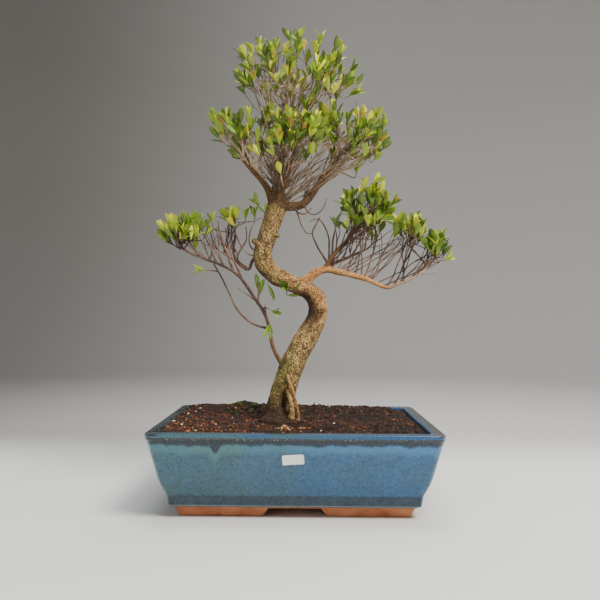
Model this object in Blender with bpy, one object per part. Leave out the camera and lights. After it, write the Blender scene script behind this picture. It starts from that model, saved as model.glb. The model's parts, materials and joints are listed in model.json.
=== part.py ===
"""Brush cherry bonsai standing in a glazed rectangular pot.

Lengths are millimetres, measured from the middle of the pot at table height, until add_solid
turns them into metres. +X is the viewer's right, -Y is the front and +Z is up.
"""

import math
import random

import bmesh
import bpy
from mathutils import Matrix, Vector
from mathutils.bvhtree import BVHTree

MM = 0.001
SEED = 27
# Clearance between neighbouring solids
GAP = 0.3
# The crown reaches further right than the pot, so the middle of the whole lies right of the pot's
ORIGIN_SHIFT = Vector((-7.0, 0.0, 0.0))

# Pot: outer size at the rim, then insets from the rim's outline at each height
POT_LENGTH = 345.0
POT_DEPTH = 250.0
POT_TOP = 102.0
RIM_WIDTH = 15.0
LIP_DROP = 7.0
LIP_STEP = 1.2
CORNER_RADIUS = 11.0
CORNER_STEPS = 3
WALL_FOOT_INSET = 14.2
WALL_FOOT_Z = 44.0
PLINTH_INSET = 22.0
PLINTH_TOP_Z = 27.5
UNDERSIDE_INSET = 30.5
UNDERSIDE_Z = 11.0
WALL_THICKNESS = 9.0
FLOOR_Z = 19.0
DRAIN_X = 75.0
DRAIN_RADIUS = 11.0

# Feet: one at each corner of the pot, L-shaped in plan and narrower at the ground
FOOT_LONG_ARM_END = 29.5
FOOT_SHORT_ARM_END = 36.0
FOOT_ARM_WIDTH = 16.0
FOOT_END_TAPER = 9.0
FOOT_SIDE_TAPER = 5.0
FOOT_SUNK = 1.5

# Blank paper label on the front wall
LABEL_SIZE = (25.0, 12.0, 0.5)
LABEL_X = -2.0
LABEL_Z = 73.0
LABEL_TILT = -3.5

# Mesh screens lying over the drain holes
SCREEN_SIZE = 32.0
SCREEN_THICKNESS = 1.2
SCREEN_HOLES = 4
SCREEN_BAR = 2.0

# Soil: rings of points from the wall in to the trunk, level at the wall with a few mounds
SOIL_EDGE_Z = 97.5
SOIL_RINGS = 8
# Each mound: place (x, y), reach (x, y) and height
SOIL_MOUNDS = [
    ((-20.0, 68.0), (300.0, 42.0), 12.5),
    ((-73.0, 50.0), (24.0, 20.0), 7.0),
    ((-17.0, -16.0), (55.0, 55.0), 3.0),
]
# Heaped against the left wall, in the same terms
SOIL_HEAP = ((-165.0, 5.0), (34.0, 160.0), 9.5)
SOIL_RIPPLE = 0.6
# The soil stays level this near the pot's outer edge, and is full height this much further in
SOIL_LEVEL_MARGIN = 15.0
SOIL_RISE = 30.0

# Root crown: the flared foot of the trunk, straight-sided where it stands in the soil
CROWN_CENTRE = (-16.5, -16.5)
CROWN_RADII = (27.5, 26.5)
CROWN_BOTTOM_Z = 66.0
CROWN_STRAIGHT_Z = 103.6
CROWN_TOP_Z = 130.0
CROWN_SIDES = 16

# Wood: points (x, y, z, radius) along each limb's middle line
TRUNK = [
    (-25, -14, 84, 13.0),
    (-27, -13, 104, 15.3),
    (-22, -12, 124, 15.5),
    (-14, -10, 151, 16.4),
    (-4, -7, 177, 15.8),
    (7, -4, 198, 15.4),
    (19, 0, 219, 14.2),
    (27, 3, 238, 13.0),
    (27, 4, 255, 12.9),
    (19, 3, 268, 12.4),
    (3, 1, 277, 11.4),
    (-16, -2, 284, 11.2),
    (-33, -5, 294, 12.2),
    (-43, -7, 308, 12.7),
    (-45, -7, 324, 12.6),
    (-36, -3, 355, 12.3),
    (-27, 0, 384, 13.0),
    (-27, 2, 398, 11.5),
    (-26, 3, 411, 8.0),
]
LEADER = [
    (-29, 1, 398, 7.0),
    (-26, 4, 424, 4.6),
    (-20, 6, 457, 3.8),
    (-15, 4, 482, 3.3),
    (-9, 1, 508, 2.6),
    (-6, 2, 534, 1.3),
]
CROWN_RIGHT = [
    (-27, 0, 386, 8.0),
    (-9, -3, 383, 6.1),
    (7, -6, 386, 5.5),
    (19, -8, 399, 5.0),
    (30, -8, 416, 4.3),
    (44, -6, 434, 3.6),
    (58, -3, 454, 2.8),
    (73, 0, 474, 1.8),
]
CROWN_LEFT = [
    (-32, 1, 388, 6.5),
    (-43, -3, 410, 3.8),
    (-59, -8, 428, 3.0),
    (-75, -12, 446, 2.2),
    (-94, -15, 472, 1.3),
]
CROWN_BACK = [
    (-28, 4, 388, 7.0),
    (-25, 16, 405, 4.6),
    (-17, 31, 432, 3.6),
    (-7, 42, 458, 2.7),
    (3, 48, 486, 1.4),
]
CROWN_FRONT = [
    (-27, -2, 386, 7.0),
    (-22, -14, 398, 4.2),
    (-14, -27, 415, 3.2),
    (-5, -37, 435, 2.3),
    (2, -42, 456, 1.3),
]
RIGHT_BRANCH = [
    (8, 2, 279, 8.0),
    (19, -1, 290, 6.3),
    (29, -4, 297, 5.6),
    (41, -7, 299, 4.9),
    (57, -10, 295, 4.3),
    (88, -14, 287, 3.4),
    (117, -17, 275, 2.5),
    (130, -18, 279, 2.1),
    (148, -19, 286, 1.8),
    (166, -19, 298, 1.5),
    (174, -18, 312, 1.1),
]
RIGHT_RISER = [
    (37, -6, 299, 4.4),
    (45, -4, 314, 3.4),
    (54, -1, 325, 3.1),
    (65, 3, 337, 2.6),
    (75, 7, 350, 1.8),
]
RIGHT_BACK = [
    (25, -2, 294, 4.5),
    (36, 10, 302, 3.1),
    (53, 24, 311, 2.7),
    (73, 36, 320, 2.2),
    (93, 46, 330, 1.5),
]
LEFT_BRANCH = [
    (-17, -9, 171, 4.0),
    (-26, -14, 186, 2.9),
    (-32, -17, 201, 2.6),
    (-35, -20, 220, 2.4),
    (-42, -23, 241, 2.3),
    (-53, -26, 258, 2.2),
    (-74, -29, 287, 2.0),
    (-95, -31, 301, 1.8),
    (-117, -33, 309, 1.7),
    (-138, -35, 317, 1.4),
    (-152, -37, 330, 1.1),
]
LEFT_FORK = [
    (-35, -20, 221, 1.9),
    (-50, -24, 224, 1.4),
    (-63, -28, 231, 1.3),
    (-78, -32, 248, 1.2),
    (-93, -37, 280, 1.1),
    (-106, -39, 303, 1.0),
]
LOW_LEFT = [
    (-42, -6, 322, 4.0),
    (-51, -6, 319, 3.2),
    (-60, -3, 309, 2.3),
    (-64, 0, 299, 2.0),
    (-72, 4, 301, 1.9),
    (-81, 8, 309, 1.7),
    (-104, 15, 324, 1.2),
]
ROOT_RIGHT = [
    (-12, -20, 164, 3.0),
    (-10, -27, 156, 2.2),
    (-4, -31, 141, 2.2),
    (0, -33, 126, 2.0),
    (3.5, -33.5, 110, 1.9),
    (2, -30, 99, 1.8),
]
ROOT_LEFT = [
    (-12, -18, 148, 3.5),
    (-10, -26, 139, 3.1),
    (-6, -32, 127, 3.2),
    (-5, -34, 112, 3.3),
    (-6, -31, 99, 3.0),
]
LIMBS = [
    LEADER, CROWN_RIGHT, CROWN_LEFT, CROWN_BACK, CROWN_FRONT, RIGHT_BRANCH,
    RIGHT_RISER, RIGHT_BACK, LEFT_BRANCH, LEFT_FORK, LOW_LEFT,
]
ROOTS = [ROOT_RIGHT, ROOT_LEFT]
TRUNK_SIDES = 12
LIMB_SIDES = 6
TWIG_SIDES = 4
WOOD_STEP = 13.0

# Foliage pads: centre, half sizes and how many leafy shoots stand in each
PADS = {
    "apex": ((-6, 2, 562), (88, 62, 60), 13),
    "left_shoulder": ((-60, -8, 480), (62, 48, 42), 5),
    "right_shoulder": ((62, -3, 484), (66, 50, 42), 6),
    "front": ((0, -44, 474), (46, 28, 34), 3),
    "back": ((6, 46, 500), (56, 34, 44), 3),
    "right_near": ((92, -6, 382), (42, 36, 32), 3),
    "right_rear": ((96, 46, 352), (30, 26, 24), 1),
    "right_middle": ((148, -16, 352), (24, 22, 20), 1),
    "right_end": ((180, -18, 332), (18, 18, 20), 1),
    "left_end": ((-150, -34, 343), (28, 26, 25), 2),
    "left_inner": ((-88, 6, 368), (18, 17, 15), 1),
}
PAD_LOWEST = -0.45
PAD_HIGHEST = 0.96
# How far the outermost leaves reach past the tip of their stem, sideways and upwards
LEAF_REACH = Vector((8.0, 8.0, 15.0))
# How strongly a twig keeps to the direction of the limb it leaves
FORK_COST = 1.6

# Short shoots on bare wood: foot, direction and length of stem
LONE_SHOOTS = [
    ((-44, -16, 374), (-0.7, -0.2, 0.7), 12.0),
    ((-7, -17, 271), (-0.4, -0.8, 0.1), 9.0),
    ((-109, -41, 294), (-1.0, 0.0, 0.1), 10.0),
    ((-38, -28, 247), (0.7, -0.3, -0.3), 9.0),
]

# Shoots: stems and leaves
STEM_LENGTH = (22.0, 31.0)
STEM_RADIUS = 1.0
STEM_TIP_RADIUS = 0.65
STEM_SIDES = 4
LEAF_PITCH = 7.5
LEAF_LENGTH = (15.5, 20.5)
LEAF_HALF_WIDTH = 0.165
LEAF_THICKNESS = 0.75
LEAF_FOLD = 0.35
LEAF_SPREAD = (46.0, 66.0)
TIP_LEAF_SPREAD = (18.0, 30.0)
# Clearance kept while placing shoots, and how far above its twig a stem is first tested
TEST_MARGIN = 0.45
TEST_LIFT = 0.3
TRIES = 14

COLOURS = {
    "pot": ("2F5470", 0.28),
    "soil": ("3B2116", 0.95),
    "wood": ("6B5431", 0.85),
    "leaf": ("4E7A22", 0.45),
    "label": ("EDEBE4", 0.7),
    "screen": ("1E1E1E", 0.6),
}


def clear_scene():
    for item in list(bpy.data.objects):
        bpy.data.objects.remove(item, do_unlink=True)


def linear(channel):
    """One sRGB channel as linear light."""
    if channel <= 0.04045:
        return channel / 12.92
    return ((channel + 0.055) / 1.055) ** 2.4


def material(node, look):
    """A Principled material named for its node."""
    code, roughness = COLOURS[look]
    colour = [linear(int(code[i:i + 2], 16) / 255.0) for i in (0, 2, 4)]
    surface = bpy.data.materials.new(node)
    surface.use_nodes = True
    shader = surface.node_tree.nodes["Principled BSDF"]
    shader.inputs["Base Color"].default_value = (*colour, 1.0)
    shader.inputs["Roughness"].default_value = roughness
    shader.inputs["Metallic"].default_value = 0.0
    return surface


def loft(rings):
    """A closed mesh through rings of points, capped at both ends."""
    work = bmesh.new()
    loops = []
    for ring in rings:
        loops.append([work.verts.new(point) for point in ring])
    count = len(rings[0])
    for low, high in zip(loops, loops[1:]):
        for i in range(count):
            j = (i + 1) % count
            work.faces.new((low[i], low[j], high[j], high[i]))
    work.faces.new(list(reversed(loops[0])))
    work.faces.new(loops[-1])
    bmesh.ops.recalc_face_normals(work, faces=work.faces)
    return work


def add_solid(name, work):
    """Turn a finished bmesh into an object in metres."""
    for vertex in work.verts:
        vertex.co = (vertex.co + ORIGIN_SHIFT) * MM
    mesh = bpy.data.meshes.new(name)
    work.to_mesh(mesh)
    work.free()
    item = bpy.data.objects.new(name, mesh)
    bpy.context.collection.objects.link(item)
    return item


def combine(item, others, operation, solver="EXACT"):
    """Union or cut an object with others, and drop the others."""
    group = bpy.data.collections.new(item.name + "_parts")
    for other in others:
        group.objects.link(other)
    boolean = item.modifiers.new("combine", "BOOLEAN")
    boolean.operation = operation
    boolean.operand_type = "COLLECTION"
    boolean.collection = group
    boolean.solver = solver
    bpy.context.view_layer.update()
    graph = bpy.context.evaluated_depsgraph_get()
    result = bpy.data.meshes.new_from_object(item.evaluated_get(graph))
    item.modifiers.clear()
    item.data = result
    for other in others:
        bpy.data.objects.remove(other, do_unlink=True)
    bpy.data.collections.remove(group)
    return item


def finish(item, look, smooth_angle=None):
    """Give a node its one material, and smooth shading where it is round."""
    item.data.materials.clear()
    item.data.materials.append(material(item.name, look))
    if smooth_angle is not None:
        item.data.shade_smooth()
        item.data.set_sharp_from_angle(angle=math.radians(smooth_angle))
    return item


def rounded_rectangle(inset, z):
    """Ring of points round the pot, the given distance inside the rim's outer edge."""
    half_x = POT_LENGTH / 2 - inset
    half_y = POT_DEPTH / 2 - inset
    radius = max(CORNER_RADIUS - 0.25 * inset, 3.0)
    ring = []
    for quarter in range(4):
        side_x = 1 if quarter in (0, 3) else -1
        side_y = 1 if quarter in (0, 1) else -1
        for step in range(CORNER_STEPS + 1):
            angle = math.radians(90.0 * (quarter + step / CORNER_STEPS))
            x = side_x * (half_x - radius) + radius * math.cos(angle)
            y = side_y * (half_y - radius) + radius * math.sin(angle)
            ring.append(Vector((x, y, z)))
    return ring


def make_foot(side_x, side_y):
    """One L-shaped foot, from the ground up into the pot's underside."""
    outer_x = POT_LENGTH / 2 - UNDERSIDE_INSET - 0.5
    outer_y = POT_DEPTH / 2 - UNDERSIDE_INSET - 0.5
    rings = []
    for z, taper in ((0.0, 1.0), (UNDERSIDE_Z, 0.0), (UNDERSIDE_Z + FOOT_SUNK, 0.0)):
        far_x = outer_x - FOOT_SIDE_TAPER * taper
        far_y = outer_y - FOOT_SIDE_TAPER * taper
        near_x = outer_x - FOOT_ARM_WIDTH
        near_y = outer_y - FOOT_ARM_WIDTH
        end_x = FOOT_LONG_ARM_END + FOOT_END_TAPER * taper
        end_y = FOOT_SHORT_ARM_END + FOOT_END_TAPER * taper
        outline = [
            (end_x, far_y), (far_x, far_y), (far_x, end_y),
            (near_x, end_y), (near_x, near_y), (end_x, near_y),
        ]
        rings.append([Vector((side_x * x, side_y * y, z)) for x, y in outline])
    return add_solid("foot", loft(rings))


def make_pot():
    """Tray with a flat rim, a turned-in foot band, four feet and two drain holes."""
    lip_z = POT_TOP - LIP_DROP
    profile = [
        (UNDERSIDE_INSET, UNDERSIDE_Z),
        (PLINTH_INSET + 1.5, UNDERSIDE_Z + 4.5),
        (PLINTH_INSET, PLINTH_TOP_Z),
        (WALL_FOOT_INSET, WALL_FOOT_Z),
        (LIP_STEP, lip_z - 0.8),
        (0.0, lip_z + 0.4),
        (0.0, POT_TOP - 1.2),
        (1.2, POT_TOP),
        (RIM_WIDTH - 1.2, POT_TOP),
        (RIM_WIDTH, POT_TOP - 1.2),
        (RIM_WIDTH, WALL_FOOT_Z + 35.0),
        (WALL_FOOT_INSET + WALL_THICKNESS, WALL_FOOT_Z),
        (PLINTH_INSET + WALL_THICKNESS + 1.0, FLOOR_Z),
    ]
    pot = add_solid("pot", loft([rounded_rectangle(inset, z) for inset, z in profile]))
    feet = [make_foot(side_x, side_y) for side_x in (-1, 1) for side_y in (-1, 1)]
    combine(pot, feet, "UNION")
    drains = []
    for side in (-1, 1):
        ends = [disc((side * DRAIN_X, 0.0, z), DRAIN_RADIUS, 16) for z in (0.0, FLOOR_Z + 5.0)]
        drains.append(add_solid("drain", loft(ends)))
    combine(pot, drains, "DIFFERENCE")
    return finish(pot, "pot", 35)


def disc(centre, radius, sides):
    """Level ring of points."""
    ring = []
    for i in range(sides):
        angle = 2 * math.pi * i / sides
        ring.append(Vector(centre) + Vector((math.cos(angle), math.sin(angle), 0.0)) * radius)
    return ring


def box_solid(name, low, high):
    """Axis-aligned box."""
    rings = []
    for z in (low[2], high[2]):
        corners = [(low[0], low[1]), (high[0], low[1]), (high[0], high[1]), (low[0], high[1])]
        rings.append([Vector((x, y, z)) for x, y in corners])
    return add_solid(name, loft(rings))


def make_label():
    """Blank label, flat on the sloping front wall."""
    rise = POT_TOP - LIP_DROP - 0.8 - WALL_FOOT_Z
    lean = math.atan2(WALL_FOOT_INSET - LIP_STEP, rise)
    inset = WALL_FOOT_INSET - (LABEL_Z - WALL_FOOT_Z) * math.tan(lean)
    width, height, thickness = LABEL_SIZE
    centre = Vector((LABEL_X, -(POT_DEPTH / 2 - inset), LABEL_Z))
    turn = Matrix.Rotation(lean, 4, "X") @ Matrix.Rotation(math.radians(LABEL_TILT), 4, "Y")
    rings = []
    for y in (-GAP, -GAP - thickness):
        corners = [(-1, -1), (1, -1), (1, 1), (-1, 1)]
        flat = [Vector((a * width / 2, y, b * height / 2)) for a, b in corners]
        rings.append([centre + turn @ point for point in flat])
    return finish(add_solid("label", loft(rings)), "label")


def make_screen(name, side):
    """Square mesh screen lying on the pot's floor over a drain hole."""
    half = SCREEN_SIZE / 2
    low_z = FLOOR_Z + GAP
    centre_x = side * DRAIN_X
    low = (centre_x - half, -half, low_z)
    high = (centre_x + half, half, low_z + SCREEN_THICKNESS)
    screen = box_solid(name, low, high)
    pitch = (SCREEN_SIZE - SCREEN_BAR) / SCREEN_HOLES
    holes = []
    for row in range(SCREEN_HOLES):
        for column in range(SCREEN_HOLES):
            x = centre_x - half + SCREEN_BAR + column * pitch
            y = -half + SCREEN_BAR + row * pitch
            reach = pitch - SCREEN_BAR
            corner = (x + reach, y + reach, high[2] + 1.0)
            holes.append(box_solid("hole", (x, y, low_z - 1.0), corner))
    combine(screen, holes, "DIFFERENCE")
    return finish(screen, "screen")


def crown_ring(z, grow=0.0):
    """Lobed outline of the root crown, tapering to the trunk above the soil."""
    taper = max(0.0, (z - CROWN_STRAIGHT_Z) / (CROWN_TOP_Z - CROWN_STRAIGHT_Z))
    top = Vector((-21.0, -12.0))
    middle = Vector(CROWN_CENTRE).lerp(top, taper)
    size = 1.0 - 0.62 * math.sin(taper * math.pi / 2)
    ring = []
    for i in range(CROWN_SIDES):
        angle = 2 * math.pi * i / CROWN_SIDES
        lobe = 1.0 + 0.06 * math.cos(3 * angle + 2.6) + 0.03 * math.cos(5 * angle + 1.0)
        x = middle.x + (CROWN_RADII[0] * lobe * size + grow) * math.cos(angle)
        y = middle.y + (CROWN_RADII[1] * lobe * size + grow) * math.sin(angle)
        ring.append(Vector((x, y, z)))
    return ring


def mound(x, y, place, reach, top):
    """Height of a rounded mound at a point."""
    across = (x - place[0]) / reach[0]
    along = (y - place[1]) / reach[1]
    return top * math.exp(-across * across - along * along)


def soil_height(x, y):
    """Height of the soil: level at the wall, heaped at its left, mounded behind and round the tree."""
    inside = min(POT_LENGTH / 2 - abs(x), POT_DEPTH / 2 - abs(y)) - SOIL_LEVEL_MARGIN
    share = min(1.0, max(0.0, inside / SOIL_RISE))
    height = share * sum(mound(x, y, *shape) for shape in SOIL_MOUNDS) + mound(x, y, *SOIL_HEAP)
    ripple = SOIL_RIPPLE * (math.sin(x / 9.0) * math.cos(y / 7.0) + math.sin((x + y) / 13.0))
    return SOIL_EDGE_Z + height + ripple


def make_soil():
    """Soil filling the pot, with a plain hole for the root crown and a recess at each screen."""
    wall_inset = RIM_WIDTH + GAP
    floor_inset = PLINTH_INSET + WALL_THICKNESS + 1.0 + GAP
    bend_inset = WALL_FOOT_INSET + WALL_THICKNESS + GAP
    rings = [
        rounded_rectangle(floor_inset, FLOOR_Z + GAP),
        rounded_rectangle(bend_inset, WALL_FOOT_Z + GAP),
        rounded_rectangle(wall_inset, WALL_FOOT_Z + 35.0 + GAP),
    ]
    edge = rounded_rectangle(wall_inset, 0.0)
    middle = Vector((CROWN_CENTRE[0], CROWN_CENTRE[1], 0.0))
    for step in range(SOIL_RINGS):
        share = 1.0 - step / SOIL_RINGS
        ring = [middle + (point - middle) * share for point in edge]
        rings.append([Vector((p.x, p.y, soil_height(p.x, p.y))) for p in ring])
    soil = add_solid("soil", loft(rings))
    cutters = [add_solid("crown_hole", loft([
        crown_ring(CROWN_BOTTOM_Z - GAP, GAP), crown_ring(CROWN_STRAIGHT_Z, GAP),
        [p + Vector((0.0, 0.0, 30.0)) for p in crown_ring(CROWN_STRAIGHT_Z, GAP)],
    ]))]
    half = SCREEN_SIZE / 2 + GAP
    for side in (-1, 1):
        x = side * DRAIN_X
        low = (x - half, -half, FLOOR_Z - 1.0)
        high = (x + half, half, FLOOR_Z + SCREEN_THICKNESS + 2 * GAP)
        cutters.append(box_solid("recess", low, high))
    combine(soil, cutters, "DIFFERENCE")
    return finish(soil, "soil")


def curve_point(points, place):
    """Point and radius on the smooth curve through a limb's points."""
    last = len(points) - 1
    index = min(int(place), last - 1)
    t = place - index
    four = [Vector(points[min(max(index + k, 0), last)]) for k in (-1, 0, 1, 2)]
    a, b, c, d = four
    turn = 2.0 * b + (c - a) * t + (2.0 * a - 5.0 * b + 4.0 * c - d) * t * t
    return 0.5 * (turn + (3.0 * b - a - 3.0 * c + d) * t * t * t)


def resample(points, step):
    """Points (x, y, z, radius) along a limb about one step apart."""
    fine = [curve_point(points, i / 8.0) for i in range(8 * (len(points) - 1) + 1)]
    travelled = [0.0]
    for before, after in zip(fine, fine[1:]):
        travelled.append(travelled[-1] + (after.xyz - before.xyz).length)
    count = max(2, round(travelled[-1] / step))
    picked = []
    for i in range(count + 1):
        goal = travelled[-1] * i / count
        nearest = min(range(len(fine)), key=lambda k: abs(travelled[k] - goal))
        picked.append(fine[nearest])
    return picked


def frames_along(points):
    """Direction and side vectors at each point, turning as little as possible."""
    frames = []
    side = Vector((0.0, -1.0, 0.0))
    last = len(points) - 1
    for i in range(last + 1):
        ahead = (points[min(i + 1, last)].xyz - points[max(i - 1, 0)].xyz).normalized()
        side = (side - ahead * side.dot(ahead)).normalized()
        frames.append((ahead, side, ahead.cross(side)))
    return frames


def tube(points, sides, rough=0.0, end_direction=None):
    """Rings of a tube along points (x, y, z, radius); rough gives it lobes."""
    frames = frames_along(points)
    if end_direction is not None:
        side = (frames[-1][1] - end_direction * frames[-1][1].dot(end_direction)).normalized()
        frames[-1] = (end_direction, side, end_direction.cross(side))
    rings = []
    for row, (point, (_, side, other)) in enumerate(zip(points, frames)):
        ring = []
        for i in range(sides):
            angle = 2 * math.pi * i / sides
            lobe = math.sin(3 * angle + 0.7 * row) + 0.6 * math.sin(5 * angle - 1.1 * row)
            radius = point[3] * (1.0 + rough * lobe)
            offset = side * math.cos(angle) + other * math.sin(angle)
            ring.append(point.xyz + offset * radius)
        rings.append(ring)
    return rings


def pad_sites(centre, size, count, spin):
    """Foot, direction and stem length of each shoot in a pad, spread by the golden angle."""
    sites = []
    centre = Vector(centre)
    rng = random.Random(SEED + spin)
    for k in range(count):
        height = PAD_HIGHEST + (PAD_LOWEST - PAD_HIGHEST) * (k + 0.5) / count
        turn = k * math.pi * (3.0 - math.sqrt(5.0)) + spin
        level = math.sqrt(1.0 - height * height)
        outward = Vector((math.cos(turn) * level, math.sin(turn) * level, height))
        reach = Vector([outward[i] * (size[i] - LEAF_REACH[i]) for i in range(3)])
        direction = (outward + Vector((0.0, 0.0, 0.9))).normalized()
        length = min(rng.uniform(*STEM_LENGTH), 1.15 * min(size))
        sites.append((centre + reach - direction * length, direction, length))
    return sites


def limb_sites(limbs):
    """The end of each limb carries a shoot too."""
    return [(limb[-1].xyz, frames_along(limb)[-1][0], STEM_LENGTH[0]) for limb in limbs]


def grow_twigs(sites, limbs):
    """Twigs from the limbs to the foot of each shoot, the nearest ones first."""
    joints = []
    for limb in limbs:
        frames = frames_along(limb)
        joints += [(p.xyz, f[0], p[3]) for p, f in zip(limb[2:-1], frames[2:-1])]
    twigs = []
    waiting = list(sites)
    while waiting:
        best = None
        for site in waiting:
            foot = site[0]
            for place, ahead, radius in joints:
                reach = foot - place
                distance = max(reach.length, 0.001)
                turn = 1.0 - reach.dot(ahead) / distance
                below = max(0.0, place.z - foot.z)
                cost = distance * (1.0 + FORK_COST * turn) + below
                if best is None or cost < best[0]:
                    best = (cost, site, place, ahead, radius)
        _, site, place, ahead, radius = best
        waiting.remove(site)
        twig = make_twig(place, ahead, radius, site, len(twigs))
        twigs.append((twig, site[1]))
        frames = frames_along(twig)
        joints += [(p.xyz, f[0], p[3]) for p, f in zip(twig[1:-1], frames[1:-1])]
    return twigs


def make_twig(place, ahead, radius, site, number):
    """Curved run of points from inside a limb to a shoot's foot."""
    foot, direction, _ = site
    place = place - ahead * radius * (0.3 + 0.1 * (number % 5))
    reach = foot - place
    distance = reach.length
    first = place + (ahead + reach.normalized()).normalized() * distance * 0.35
    second = foot - direction * distance * 0.35
    start_radius = min(0.8 * radius, 1.15 + distance / 55.0)
    steps = max(2, round(distance / WOOD_STEP))
    points = []
    for i in range(steps + 1):
        t = i / steps
        s = 1.0 - t
        p = place * s ** 3 + first * 3 * s * s * t + second * 3 * s * t * t + foot * t ** 3
        r = start_radius + (STEM_RADIUS - start_radius) * t
        points.append(Vector((*p, r)))
    return points


def make_wood(limbs, twigs):
    """Trunk, root crown, roots, branches and twigs as one grown piece."""
    trunk = resample([Vector(p) for p in TRUNK], WOOD_STEP)
    wood = add_solid("trunk", loft(tube(trunk, TRUNK_SIDES, 0.035)))
    levels = [CROWN_BOTTOM_Z, CROWN_STRAIGHT_Z, 109.0, 117.0, CROWN_TOP_Z]
    pieces = [add_solid("crown", loft([crown_ring(z) for z in levels]))]
    for root in ROOTS:
        points = resample([Vector(p) for p in root], WOOD_STEP)
        pieces.append(add_solid("root", loft(tube(points, LIMB_SIDES))))
    for limb in limbs:
        sides = LIMB_SIDES if limb[0][3] > 3.5 else TWIG_SIDES + 1
        pieces.append(add_solid("limb", loft(tube(limb, sides))))
    for twig, direction in twigs:
        pieces.append(add_solid("twig", loft(tube(twig, TWIG_SIDES, 0.0, direction))))
    # The many nearly parallel twigs leave loose slivers with EXACT
    combine(wood, pieces, "UNION", "MANIFOLD")
    return finish(wood, "wood", 50)


def blade(foot, ahead, up, length, margin=0.0, start=0.0):
    """Rings of a folded, pointed leaf: two quads on each side of the midrib, given a thickness."""
    across = ahead.cross(up).normalized()
    up = across.cross(ahead).normalized()
    half = length * LEAF_HALF_WIDTH + margin
    near = foot + ahead * length * start
    outline = [
        (near, 0.0), (foot + ahead * length * 0.45, 0.85 * half), (foot + ahead * length * 0.78, half),
        (foot + ahead * (length + margin), 0.0), (foot + ahead * length * 0.78, -half),
        (foot + ahead * length * 0.45, -0.85 * half),
    ]
    rings = []
    for side in (-1, 1):
        lift = up * side * (LEAF_THICKNESS / 2 + margin)
        rings.append([p + across * w + up * abs(w) * LEAF_FOLD + lift for p, w in outline])
    return rings


def blade_mesh(rings):
    """Closed mesh of a blade, with both faces split along the midrib."""
    work = bmesh.new()
    loops = [[work.verts.new(point) for point in ring] for ring in rings]
    low, high = loops
    for i in range(6):
        j = (i + 1) % 6
        work.faces.new((low[i], low[j], high[j], high[i]))
    for loop in loops:
        work.faces.new((loop[0], loop[1], loop[2], loop[3]))
        work.faces.new((loop[0], loop[3], loop[4], loop[5]))
    bmesh.ops.recalc_face_normals(work, faces=work.faces)
    return work


def tree_of(work):
    """Search tree of a bmesh, which is then freed."""
    found = BVHTree.FromBMesh(work)
    work.free()
    return found


def touches(test, others):
    return any(test.overlap(other) for other in others)


def stem_path(site, rng):
    """Bent middle line of a shoot's stem, starting just clear of the twig's end."""
    foot, direction, length = site
    bend = Vector([rng.uniform(-1.0, 1.0) for _ in range(3)]) + Vector((0.0, 0.0, 0.5))
    bend = (bend - direction * bend.dot(direction)) * 0.16
    points = []
    for i in range(4):
        t = i / 3.0
        p = foot + direction * (GAP + t * length) + bend * t * t * length
        points.append(Vector((*p, STEM_RADIUS + (STEM_TIP_RADIUS - STEM_RADIUS) * t)))
    return points


def clear_stem(site, rng, wood, stems):
    """The first bend of the stem that stays clear of the wood and of the stems before it."""
    foot, direction, length = site
    for attempt in range(TRIES):
        points = stem_path((foot, direction, length * (1.0 - 0.04 * attempt)), rng)
        whole = [Vector((*p.xyz, p[3] + TEST_MARGIN)) for p in points]
        above = [whole[0] + Vector((*direction, 0.0)) * TEST_LIFT] + whole[1:]
        if touches(tree_of(loft(tube(above, STEM_SIDES))), [wood]):
            continue
        if not touches(tree_of(loft(tube(whole, STEM_SIDES))), stems):
            return points
    return None


def leaf_slots(points, rng):
    """Where leaves stand on a stem: opposite pairs, each turned a quarter from the last."""
    length = (points[-1].xyz - points[0].xyz).length
    pairs = max(1, round((length - 3.0) / LEAF_PITCH))
    start = rng.uniform(0.0, math.pi)
    slots = []
    for pair in range(pairs):
        place = 1.0 - pair * LEAF_PITCH / length - 1.2 / length
        limits = TIP_LEAF_SPREAD if pair == 0 else LEAF_SPREAD
        for side in (0, 1):
            slots.append((place - side * 0.4 / length, start + pair * math.pi / 2 + side * math.pi, limits))
    return slots


def place_leaf(points, slot, rng, others, mates):
    """One leaf in its slot, or nothing where no try stays clear."""
    place, turn, limits = slot
    spot = curve_point(points, max(place, 0.12) * 3.0)
    ahead = (points[-1].xyz - points[0].xyz).normalized()
    side = ahead.orthogonal().normalized()
    for attempt in range(TRIES):
        wobble = 0.12 + 0.07 * attempt
        angle = turn + rng.uniform(-wobble, wobble)
        spread = math.radians(rng.uniform(*limits) + rng.uniform(-2.0, 2.0) * attempt)
        around = Matrix.Rotation(angle, 3, ahead) @ side
        out = (ahead * math.cos(spread) + around * math.sin(spread)).normalized()
        up = (ahead * math.sin(spread) - around * math.cos(spread)).normalized()
        length = rng.uniform(*LEAF_LENGTH) * (1.0 - 0.02 * attempt)
        foot = spot.xyz - out * 0.25
        whole = tree_of(blade_mesh(blade(foot, out, up, length, TEST_MARGIN)))
        outer = tree_of(blade_mesh(blade(foot, out, up, length, 0.2, 0.3)))
        if not touches(whole, others) and not touches(outer, mates):
            mates.append(outer)
            return blade(foot, out, up, length)
    return None


def make_shoot(name, points, rng, others):
    """A leafy shoot: stem and leaves fused in one solid."""
    stem = add_solid(name, loft(tube(points, STEM_SIDES)))
    mates = []
    leaves = []
    for slot in leaf_slots(points, rng):
        rings = place_leaf(points, slot, rng, others, mates)
        if rings is not None:
            leaves.append(add_solid("leaf", blade_mesh(rings)))
    combine(stem, leaves, "UNION")
    return finish(stem, "leaf")


def search_tree(item):
    """Search tree of a finished object, back in millimetres."""
    work = bmesh.new()
    work.from_mesh(item.data)
    for vertex in work.verts:
        vertex.co = vertex.co / MM - ORIGIN_SHIFT
    return tree_of(work)


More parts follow.
